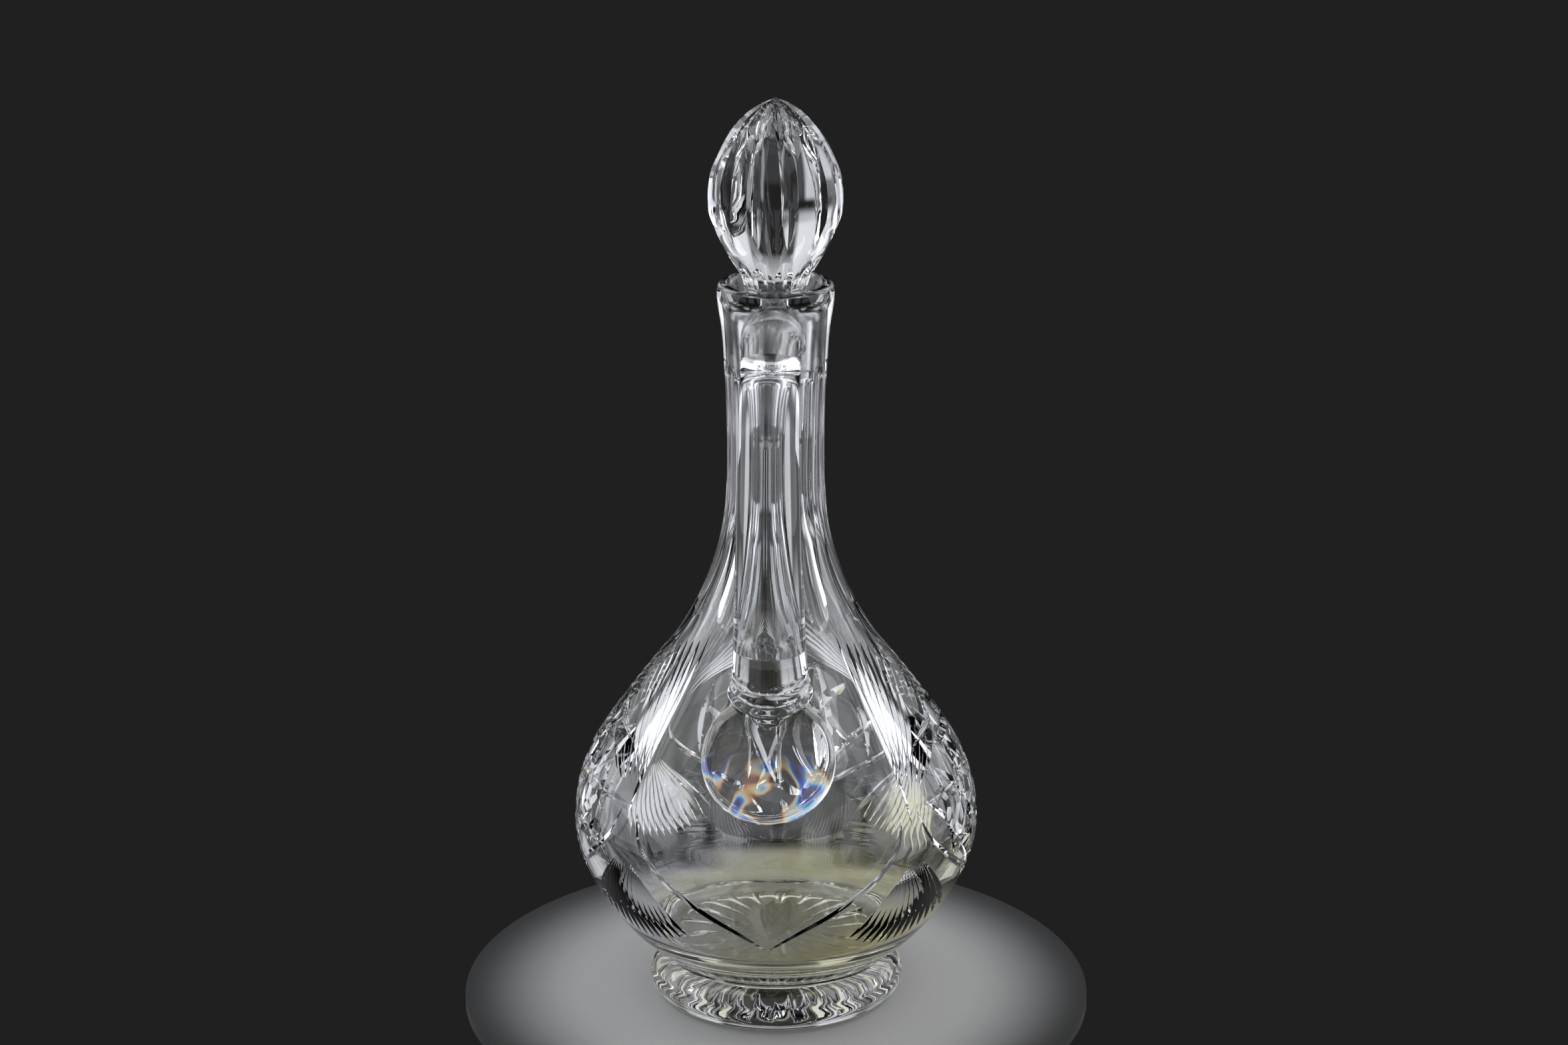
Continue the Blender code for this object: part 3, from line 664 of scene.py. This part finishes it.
def wear_group():
    """Roughness of handled glass: polished, with faint wiped patches."""
    group, given, made = node_group(
        "handled",
        [("Size", "NodeSocketFloat", 18), ("Polished", "NodeSocketFloat", 0.0),
         ("Wiped", "NodeSocketFloat", 0.03)],
        [("Roughness", "NodeSocketFloat")])
    nodes, links = group.nodes, group.links
    place = nodes.new("ShaderNodeTexCoord")
    noise = nodes.new("ShaderNodeTexNoise")
    noise.inputs["Detail"].default_value = 4
    noise.inputs["Roughness"].default_value = 0.6
    patches = nodes.new("ShaderNodeMapRange")
    patches.inputs["From Min"].default_value = 0.52
    patches.inputs["From Max"].default_value = 0.72
    links.new(place.outputs["Object"], noise.inputs["Vector"])
    links.new(given.outputs["Size"], noise.inputs["Scale"])
    links.new(noise.outputs["Fac"], patches.inputs["Value"])
    links.new(given.outputs["Polished"], patches.inputs["To Min"])
    links.new(given.outputs["Wiped"], patches.inputs["To Max"])
    links.new(patches.outputs["Result"], made.inputs["Roughness"])
    return group


def shared(name, build):
    return bpy.data.node_groups.get(name) or build()


def place_group(material, group, **values):
    node = material.node_tree.nodes.new("ShaderNodeGroup")
    node.node_tree = group
    for label, value in values.items():
        node.inputs[label.replace("_", " ")].default_value = value
    return node


def lead_crystal(name, look):
    """Clear lead crystal, still without its finish, and its shader."""
    made = bpy.data.materials.new(name)
    made.use_nodes = True
    shader = made.node_tree.nodes["Principled BSDF"]
    shader.inputs["Base Color"].default_value = (*look.clear, 1)
    shader.inputs["Metallic"].default_value = 0
    shader.inputs["IOR"].default_value = look.ior
    shader.inputs["Transmission Weight"].default_value = 1
    return made, shader


def polished_glass(name, look):
    """Lead crystal polished bright and handled since."""
    made, shader = lead_crystal(name, look)
    wear = place_group(made, shared("handled", wear_group), Wiped=look.wiped)
    made.node_tree.links.new(wear.outputs["Roughness"], shader.inputs["Roughness"])
    return made


def straw_glass(name, look):
    """Polished glass that looks straw where it is thick, low in the bowl."""
    made = polished_glass(name, look)
    tint = place_group(made, shared("lead_tint", tint_group), Clear=(*look.clear, 1), Straw=(*look.straw, 1),
                       Straw_Top=look.straw_top, Clear_From=look.clear_from)
    shader = made.node_tree.nodes["Principled BSDF"]
    made.node_tree.links.new(tint.outputs["Colour"], shader.inputs["Base Color"])
    return made


def painted_fringe_glass(name, look):
    """Polished glass with painted spectral fringes on the thick seal: soft bands of colour painted into its
    base colour, low in it, and painted light that it emits there though it is no lamp.
    """
    made = polished_glass(name, look)
    nodes, links = made.node_tree.nodes, made.node_tree.links
    shader = nodes["Principled BSDF"]
    place = nodes.new("ShaderNodeTexCoord")
    parts = nodes.new("ShaderNodeSeparateXYZ")
    noise = nodes.new("ShaderNodeTexNoise")
    noise.inputs["Scale"].default_value = 74
    noise.inputs["Detail"].default_value = 0.5
    noise.inputs["Distortion"].default_value = 0.8
    painted_fringe_ramp, painted_glow_ramp = colour_ramp(nodes, PAINTED_FRINGE_TINTS), colour_ramp(nodes, PAINTED_FRINGE_GLOW)
    # Mask of the painted fringes and painted light: full in the seal's lower half
    painted_fringe_mask = rising(nodes, *PAINTED_FRINGE_HEIGHTS)
    share = nodes.new("ShaderNodeMath")
    share.operation = "MULTIPLY"
    share.inputs[1].default_value = look.painted_fringe_strength
    links.new(place.outputs["Object"], parts.inputs[0])
    links.new(place.outputs["Object"], noise.inputs["Vector"])
    links.new(noise.outputs["Fac"], painted_fringe_ramp.inputs["Fac"])
    links.new(noise.outputs["Fac"], painted_glow_ramp.inputs["Fac"])
    links.new(parts.outputs["Z"], painted_fringe_mask.inputs["Value"])
    links.new(painted_fringe_mask.outputs["Result"], share.inputs[0])
    # Painted spectral fringes: the seal's base colour takes these bands low down
    painted_fringe_colour = mixed(nodes, links, share.outputs[0], look.clear, painted_fringe_ramp.outputs["Color"], "MULTIPLY")
    # Painted light: the low half of the seal emits these colours though it is no lamp
    painted_glow_colour = mixed(nodes, links, painted_fringe_mask.outputs["Result"], BLACK[:3], painted_glow_ramp.outputs["Color"])
    links.new(painted_fringe_colour, shader.inputs["Base Color"])
    links.new(painted_glow_colour, shader.inputs["Emission Color"])
    shader.inputs["Emission Strength"].default_value = look.painted_glow_strength
    return made


def ground_glass(name, look):
    """Ground joint: the same glass left fine-ground, so that it looks milky."""
    made, shader = lead_crystal(name, look)
    nodes, links = made.node_tree.nodes, made.node_tree.links
    place = nodes.new("ShaderNodeTexCoord")
    grit = nodes.new("ShaderNodeTexNoise")
    grit.inputs["Scale"].default_value = 900
    spread = nodes.new("ShaderNodeMapRange")
    spread.inputs["To Min"].default_value = look.ground - GRIT_SPREAD
    spread.inputs["To Max"].default_value = look.ground + GRIT_SPREAD
    links.new(place.outputs["Object"], grit.inputs["Vector"])
    links.new(grit.outputs["Fac"], spread.inputs["Value"])
    links.new(spread.outputs["Result"], shader.inputs["Roughness"])
    return made


def dress(item, materials, pick):
    """Gives each face of the item the material that pick chooses from its middle."""
    item.data.materials.clear()
    for material in materials:
        item.data.materials.append(material)
    for face in item.data.polygons:
        face.material_index = pick(face.center)


# What a user would change

class CarafeCutting(bpy.types.PropertyGroup):
    frame_depth: bpy.props.FloatProperty(
        name="Frame Mitres", description="Depth of the mitres that frame the panels", default=0.0013,
        unit="LENGTH")
    flute_depth: bpy.props.FloatProperty(
        name="Flutes", description="Depth of the hollow flutes up the neck", default=0.0017, unit="LENGTH")
    fan_rays: bpy.props.IntProperty(
        name="Upper Fan Rays", description="Rays on each side of an upper fan", default=11, min=1)
    fan_depth: bpy.props.FloatProperty(
        name="Upper Fans", description="Depth of the rays over the panels", default=0.0015, unit="LENGTH")
    skirt_rays: bpy.props.IntProperty(
        name="Lower Fan Rays", description="Rays of a lower fan", default=13, min=1)
    skirt_depth: bpy.props.FloatProperty(
        name="Lower Fans", description="Depth of the rays under the panels", default=0.0015, unit="LENGTH")
    star_depth: bpy.props.FloatProperty(
        name="Hobstars", description="Depth of the cuts of the hobstars", default=0.0024, unit="LENGTH")
    star_chord: bpy.props.FloatProperty(
        name="Hobstar Button", description="Distance of a hobstar's chords from its middle", default=0.0205,
        unit="LENGTH")
    foot_spread: bpy.props.FloatProperty(
        name="Foot Star", description="Share of its space that each hollow under the foot fills",
        default=0.93, min=0.5, max=0.98, subtype="FACTOR")
    head_depth: bpy.props.FloatProperty(
        name="Stopper Mitres", description="Depth of the mitres up the stopper", default=0.0031,
        unit="LENGTH")
    seal_ripple: bpy.props.FloatProperty(
        name="Seal Ripples", description="Height of the ripples where the rod meets its seal", default=0.0015,
        unit="LENGTH")


class CarafeGlass(bpy.types.PropertyGroup):
    clear: bpy.props.FloatVectorProperty(
        name="Clear", description="Colour of the upper glass", default=(0.985, 0.99, 1.0), subtype="COLOR",
        min=0, max=1)
    straw: bpy.props.FloatVectorProperty(
        name="Straw", description="Colour low in the bowl, where the glass is thick",
        default=(0.98, 0.93, 0.58), subtype="COLOR", min=0, max=1)
    straw_top: bpy.props.FloatProperty(
        name="Straw Up To", description="Height up to which the bowl is straw", default=0.046, unit="LENGTH")
    clear_from: bpy.props.FloatProperty(
        name="Clear From", description="Height from which the bowl is clear", default=0.070, unit="LENGTH")
    ior: bpy.props.FloatProperty(
        name="IOR", description="Index of refraction of lead crystal", default=1.545, min=1, max=2)
    wiped: bpy.props.FloatProperty(
        name="Wiped Patches", description="Roughness of the faint wiped patches", default=0.02, min=0, max=1,
        subtype="FACTOR")
    ground: bpy.props.FloatProperty(
        name="Ground Joint", description="Roughness of the stopper's ground joint", default=0.16, min=0,
        max=1, subtype="FACTOR")
    # Strength of the painted light that the seal emits though it is no lamp
    painted_glow_strength: bpy.props.FloatProperty(
        name="Fringe Glow", description="Brightness of the spectral fringes against the dark", default=0.4,
        min=0, max=2)
    # Strength of the painted spectral fringes in the seal's base colour
    painted_fringe_strength: bpy.props.FloatProperty(
        name="Fringes", description="Strength of the spectral fringes in the seal", default=0.8, min=0, max=1,
        subtype="FACTOR")


class CarafeStage(bpy.types.PropertyGroup):
    floor: bpy.props.FloatVectorProperty(
        name="Floor", description="Colour of the pale floor", default=(0.44, 0.44, 0.445), subtype="COLOR",
        min=0, max=1)
    floor_radius: bpy.props.FloatProperty(
        name="Floor Radius", description="Radius of the round floor", default=0.130, unit="LENGTH")
    # Also the colour that the floor's painted falloff of light darkens to at its edge
    surround: bpy.props.FloatVectorProperty(
        name="Surround", description="Colour of the dark studio round the floor",
        default=(0.0145, 0.0145, 0.0145), subtype="COLOR", min=0, max=1)
    walls: bpy.props.FloatVectorProperty(
        name="Boards", description="Colour of the pale boards that show in the glass",
        default=(0.73, 0.75, 0.78), subtype="COLOR", min=0, max=1)
    front: bpy.props.FloatProperty(
        name="High Boards", description="Paleness of the boards high in front and behind, against the rest",
        default=0.8, min=0, max=1, subtype="FACTOR")
    side_light: bpy.props.FloatProperty(
        name="Side Lights", description="Power of each tall side softbox", default=4.6, min=0, unit="POWER")
    top_light: bpy.props.FloatProperty(
        name="Top Light", description="Power of each overhead softbox", default=2.8, min=0, unit="POWER")
    view_turn: bpy.props.FloatProperty(
        name="View Turn", description="Azimuth of the camera round the carafe", default=math.radians(2.6),
        subtype="ANGLE")


# Operators

class CARAFE_OT_vessel(bpy.types.Operator):
    """Turns and cuts the vessel and its foot, welds on the rod handle, and polishes the whole"""
    bl_idname = "carafe.vessel"
    bl_label = "Cut Vessel With Handle"

    def execute(self, context):
        cut, look = context.scene.carafe_cutting, context.scene.carafe_glass
        outer = through(OUTER_OUTLINE, 5)
        outline = through(RIM_OUTLINE, 2)[:-1] + outer[:-1] + through(FOOT_OUTLINE, 3) + [(0, 0)]
        seat = through([INNER_OUTLINE[-1], SEAT_MIDDLE, RIM_OUTLINE[0]], 5)
        vessel = turned("fine_vessel", through(INNER_OUTLINE, 5)[:-1] + seat[:-1] + outline, VESSEL_STEPS)
        pull_lip(vessel)
        surface = Surface(outer)
        where = cutters("vessel_cutters")
        neck_flutes(surface, cut, where)
        for i in range(4):
            middle, corner = i * 90, i * 90 + CORNER
            frame_mitres(surface, corner, cut, where)
            sides = [side for side, beside in ((-1, i), (1, (i + 1) % 4)) if beside != 0]
            upper_fan(surface, corner, sides, cut, where)
            lower_fan(surface, corner, cut, where)
            if i > 0:
                hobstar(surface, middle, cut, where)
        foot_star(cut, where)
        combine(vessel, "DIFFERENCE", where)
        combine(vessel, "UNION", rod_handle(surface, cut))
        polish(vessel, VESSEL_CREASE)
        dress(vessel, [straw_glass("bowl_crystal", look), painted_fringe_glass("seal_crystal_painted_fringes", look),
                       ground_glass("ground_seat", look)], vessel_face)
        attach(vessel, "carafe")
        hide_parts("vessel", "foot", "handle")
        return {"FINISHED"}


def vessel_face(middle):
    """0 for polished glass, 1 for the seal, 2 for the ground seat in the neck."""
    radius = math.hypot(middle.x, middle.y)
    if radius < SEAT_REACH and SEAT_LOW < middle.z < SEAT_TOP:
        return 2
    beside = abs(middle.x) < SEAL_HALF_WIDTH and middle.y < SEAL_FRONT
    if beside and SEAL_HEIGHT - SEAL_BELOW < middle.z < SEAL_HEIGHT + SEAL_ABOVE:
        wall = float(np.interp(middle.z, *np.array(sorted(OUTER_OUTLINE)).T))
        return 1 if radius > wall + SEAL_PROUD else 0
    return 0


def pull_lip(item):
    """Draws the rim out and up into a soft pouring lip, opposite the handle."""
    for vertex in item.data.vertices:
        x, y, z = vertex.co
        along = (z - VESSEL_TOP + LIP_DEPTH) / LIP_DEPTH
        away = math.degrees(math.atan2(abs(x), y)) / LIP_SPREAD
        if along > 0 and away < 1:
            pull = along * along * math.cos(away * math.pi / 2) ** 2
            vertex.co += Vector((x, y, 0)).normalized() * LIP_OUT * pull + Vector((0, 0, LIP_UP)) * pull


def disc_gob(name, size, point, normal):
    """A round gob of hot glass of (radius, thickness, edge), pressed on a surface at point."""
    radius, thickness, edge = size
    outline = [(thickness * high, radius * wide) for high, wide in GOB_FACE]
    centre = (thickness - edge * GOB_EDGE_DROP, radius - edge)
    outline += [(centre[0] + edge * math.sin(a), centre[1] + edge * math.cos(a))
                for a in np.radians(np.linspace(62, 0, 5))]
    outline = through(outline, 4) + [(-thickness, radius), (-thickness, 0)]
    made = turned(name, outline, 120)
    turn = normal.to_track_quat("Z", "Y").to_matrix().to_4x4()
    turn.translation = point
    made.data.transform(turn)
    return made


def rod_handle(surface, cut):
    """The solid rod from the neck to its round seal on the bowl, shaped to sit in the vessel's wall."""
    route = through(ROD_ROUTE, 30)
    verts, around = [], 64
    for i, (reach, height, radius) in enumerate(route):
        before, after = route[max(i - 1, 0)], route[min(i + 1, len(route) - 1)]
        ahead = Vector((0, before[0] - after[0], after[1] - before[1])).normalized()
        side = Vector((1, 0, 0))
        up = ahead.cross(side)
        near = max(0, 1 - abs(height - RIPPLE_HEIGHT) / RIPPLE_SPREAD)
        wave = math.cos((height - RIPPLE_HEIGHT) * 2 * math.pi / RIPPLE_LENGTH)
        swell = radius + cut.seal_ripple * near * wave
        for k in range(around):
            a = 2 * math.pi * k / around
            verts.append(Vector((0, -reach, height)) + (side * math.cos(a) + up * math.sin(a)) * swell)
    rod = tube("fine_rod", verts, around)
    for name, size, height in (("fine_seal", SEAL_GOB, SEAL_HEIGHT), ("fine_pad", PAD_GOB, PAD_HEIGHT)):
        combine(rod, "UNION", disc_gob(name, size, *surface.place(0, surface.at_height(height))))
    sunk = [(height, radius - WALL_SINK) for height, radius in through(OUTER_OUTLINE, 3)]
    core = turned("wall_core", [(sunk[0][0], 0), *sunk, (sunk[-1][0], 0)], 144)
    combine(rod, "DIFFERENCE", core)
    return rod


class CARAFE_OT_stopper(bpy.types.Operator):
    """Turns the pointed stopper, cuts its twelve mitres and grinds its shank"""
    bl_idname = "carafe.stopper"
    bl_label = "Mitre-cut Stopper"

    def execute(self, context):
        cut, look = context.scene.carafe_cutting, context.scene.carafe_glass
        head = through(HEAD_OUTLINE, 6)
        stopper = turned("fine_stopper", head + SHANK_OUTLINE, STOPPER_STEPS)
        surface = Surface(head)
        where = cutters("stopper_cutters")
        low, tip = surface.at_height(HEAD_LOW), surface.lengths[-1]
        collar_top = surface.at_height(COLLAR_TOP)
        crowd = math.tan(math.pi / HEAD_MITRES) / math.tan(math.radians(MITRE_ANGLE))
        run_in, point = 0.3, 0.03
        stops = np.concatenate([np.linspace(0, run_in, 16), np.linspace(run_in, 0.97, 24)[1:]])
        mitre_sections = []
        for run in low + (tip - low) * stops:
            u = (run - low) / (tip - low)
            share = math.sin(min(1, u / run_in) * math.pi / 2) - 0.3 * max(0, 1 - u / point)
            depth = min(cut.head_depth * share, surface.radius(run) * crowd)
            mitre_sections.append(v_section(depth, MITRE_ANGLE))
        collar = np.linspace(0, 1, 14)
        collar_depths = COLLAR_DEPTH * (1 - COLLAR_FADE * collar ** 3) - COLLAR_CLEARANCE
        collar_sections = [round_section(depth, COLLAR_DEPTH, COLLAR_WHEEL, 8) for depth in collar_depths]
        for i in range(HEAD_MITRES):
            azimuth = (i + 0.5) * 360 / HEAD_MITRES
            for name, runs, sections in (("head", low + (tip - low) * stops, mitre_sections),
                                         ("collar", collar_top * collar, collar_sections)):
                loft(f"{name}_{i}", [surface.place(azimuth, run) for run in runs], sections, where)
        combine(stopper, "DIFFERENCE", where)
        polish(stopper, STOPPER_CREASE)
        dress(stopper, [polished_glass("stopper_crystal", look), ground_glass("ground_shank", look)],
              lambda middle: int(middle.z < SHANK_TOP))
        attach(stopper, "stopper")
        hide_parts("stopper")
        return {"FINISHED"}


class CARAFE_OT_stage(bpy.types.Operator):
    """Makes the pale floor, the dark studio, its softboxes and the camera"""
    bl_idname = "carafe.stage"
    bl_label = "Studio"

    def execute(self, context):
        stage = context.scene.carafe_stage
        floor = turned("floor", [(FLOOR_TOP, 0), (FLOOR_TOP, stage.floor_radius),
                                 (FLOOR_UNDERSIDE, stage.floor_radius), (FLOOR_UNDERSIDE, 0)], 180)
        face_outwards(floor)
        floor.data.materials.append(floor_paint(stage))
        context.scene.world = studio_walls(stage)
        for side, name in ((-1, "left"), (1, "right")):
            softbox(f"{name}_softbox", side, SIDE_SOFTBOX, stage.side_light)
            softbox(f"{name}_top_softbox", side, TOP_SOFTBOX, stage.top_light)
        camera_at_photo(context, stage)
        context.scene.view_settings.view_transform = "Standard"
        return {"FINISHED"}


def studio_walls(stage):
    """Dark studio with pale boards at the sides and high in front and behind, which only the glass shows."""
    world = bpy.data.worlds.new("studio")
    world.use_nodes = True
    nodes, links = world.node_tree.nodes, world.node_tree.links
    place = nodes.new("ShaderNodeTexCoord")
    parts = nodes.new("ShaderNodeSeparateXYZ")
    links.new(place.outputs["Generated"], parts.inputs[0])
    aside, along = absolute(nodes, links, parts.outputs["X"]), absolute(nodes, links, parts.outputs["Y"])
    near, above = rising(nodes, *FRONT_BOARD_NEAR, stage.front), rising(nodes, *FRONT_BOARD_UP)
    links.new(along, near.inputs["Value"])
    links.new(parts.outputs["Z"], above.inputs["Value"])
    pale = combined(nodes, links, "MULTIPLY", near.outputs["Result"], above.outputs["Result"])
    for table, gone, full in BOARDS:
        ramp = colour_ramp(nodes, [(turn, (share, share, share, 1)) for turn, share in table])
        height = rising(nodes, gone, full)
        links.new(aside, ramp.inputs["Fac"])
        links.new(parts.outputs["Z"], height.inputs["Value"])
        board = combined(nodes, links, "MULTIPLY", ramp.outputs["Color"], height.outputs["Result"])
        pale = combined(nodes, links, "MAXIMUM", pale, board)
    seen = nodes.new("ShaderNodeLightPath")
    hidden = nodes.new("ShaderNodeMath")
    hidden.operation = "SUBTRACT"
    hidden.inputs[0].default_value = 1
    links.new(seen.outputs["Is Camera Ray"], hidden.inputs[1])
    shown = combined(nodes, links, "MULTIPLY", pale, hidden.outputs[0])
    links.new(mixed(nodes, links, shown, stage.surround, stage.walls), nodes["Background"].inputs["Color"])
    return world


def floor_paint(stage):
    """Matt pale paint with a faint grain, darkening towards the floor's edge into the dark studio: a painted
    pool of light round the carafe.
    """
    made = bpy.data.materials.new("pale_floor")
    made.use_nodes = True
    nodes, links = made.node_tree.nodes, made.node_tree.links
    shader = nodes["Principled BSDF"]
    shader.inputs["Roughness"].default_value = 0.7
    place = nodes.new("ShaderNodeTexCoord")
    grain = nodes.new("ShaderNodeTexNoise")
    grain.inputs["Scale"].default_value = 240
    grain.inputs["Detail"].default_value = 3
    away = nodes.new("ShaderNodeVectorMath")
    away.operation = "LENGTH"
    # Painted falloff of light: the pale paint darkens to the studio's dark colour towards the edge
    painted_falloff = rising(nodes, stage.floor_radius * FLOOR_PAINTED_FALLOFF_START, stage.floor_radius)
    links.new(place.outputs["Object"], grain.inputs["Vector"])
    links.new(place.outputs["Object"], away.inputs[0])
    links.new(away.outputs["Value"], painted_falloff.inputs["Value"])
    paint = mixed(nodes, links, grain.outputs["Fac"], [c * FLOOR_GRAIN for c in stage.floor], stage.floor)
    links.new(mixed(nodes, links, painted_falloff.outputs["Result"], paint, stage.surround), shader.inputs["Base Color"])
    return made


def softbox(name, side, box, power):
    """A softbox on the side that is -1 or 1, hidden from the camera."""
    (across, back, up), aim, width, height, colour = box
    lamp = bpy.data.lights.new(name, "AREA")
    lamp.shape = "RECTANGLE"
    lamp.size, lamp.size_y = width, height
    lamp.energy = power
    lamp.color = colour
    made = bpy.data.objects.new(name, lamp)
    made.location = (side * across, back, up)
    made.rotation_euler = (Vector(aim) - made.location).to_track_quat("-Z", "Y").to_euler()
    made.visible_camera = False
    bpy.context.scene.collection.objects.link(made)


def camera_at_photo(context, stage):
    """The camera at the photograph's place and angle."""
    data = bpy.data.cameras.new("camera")
    data.lens = CAMERA_LENS
    data.sensor_width = CAMERA_SENSOR
    data.clip_start, data.clip_end = 0.05, 20
    camera = bpy.data.objects.new("camera", data)
    turn = stage.view_turn
    right = Vector((math.cos(turn), math.sin(turn), 0))
    back = Vector((math.sin(turn), -math.cos(turn), 0))
    camera.location = back * CAMERA_AWAY + right * CAMERA_ASIDE + Vector((0, 0, CAMERA_HEIGHT))
    camera.rotation_euler = (math.radians(90 - CAMERA_DOWN), 0, turn)
    context.scene.collection.objects.link(camera)
    context.scene.camera = camera


class CARAFE_PT_panel(bpy.types.Panel):
    bl_idname = "CARAFE_PT_panel"
    bl_label = "Cut Glass Carafe"
    bl_space_type = "VIEW_3D"
    bl_region_type = "UI"
    bl_category = "Carafe"

    def draw(self, context):
        for group, operators in (
            (context.scene.carafe_cutting, (CARAFE_OT_vessel, CARAFE_OT_stopper)),
            (context.scene.carafe_glass, ()),
            (context.scene.carafe_stage, (CARAFE_OT_stage,)),
        ):
            column = self.layout.column(align=True)
            for name in group.bl_rna.properties.keys():
                if name not in {"rna_type", "name"}:
                    column.prop(group, name)
            for operator in operators:
                self.layout.operator(operator.bl_idname)


CLASSES = (CarafeCutting, CarafeGlass, CarafeStage, CARAFE_OT_vessel, CARAFE_OT_stopper, CARAFE_OT_stage,
           CARAFE_PT_panel)


def register():
    for made in CLASSES:
        bpy.utils.register_class(made)
    bpy.types.Scene.carafe_cutting = bpy.props.PointerProperty(type=CarafeCutting)
    bpy.types.Scene.carafe_glass = bpy.props.PointerProperty(type=CarafeGlass)
    bpy.types.Scene.carafe_stage = bpy.props.PointerProperty(type=CarafeStage)


def unregister():
    del bpy.types.Scene.carafe_stage
    del bpy.types.Scene.carafe_glass
    del bpy.types.Scene.carafe_cutting
    for made in reversed(CLASSES):
        bpy.utils.unregister_class(made)


def main():
    register()
    bpy.ops.carafe.vessel()
    bpy.ops.carafe.stopper()
    bpy.ops.carafe.stage()


if __name__ == "__main__":
    main()
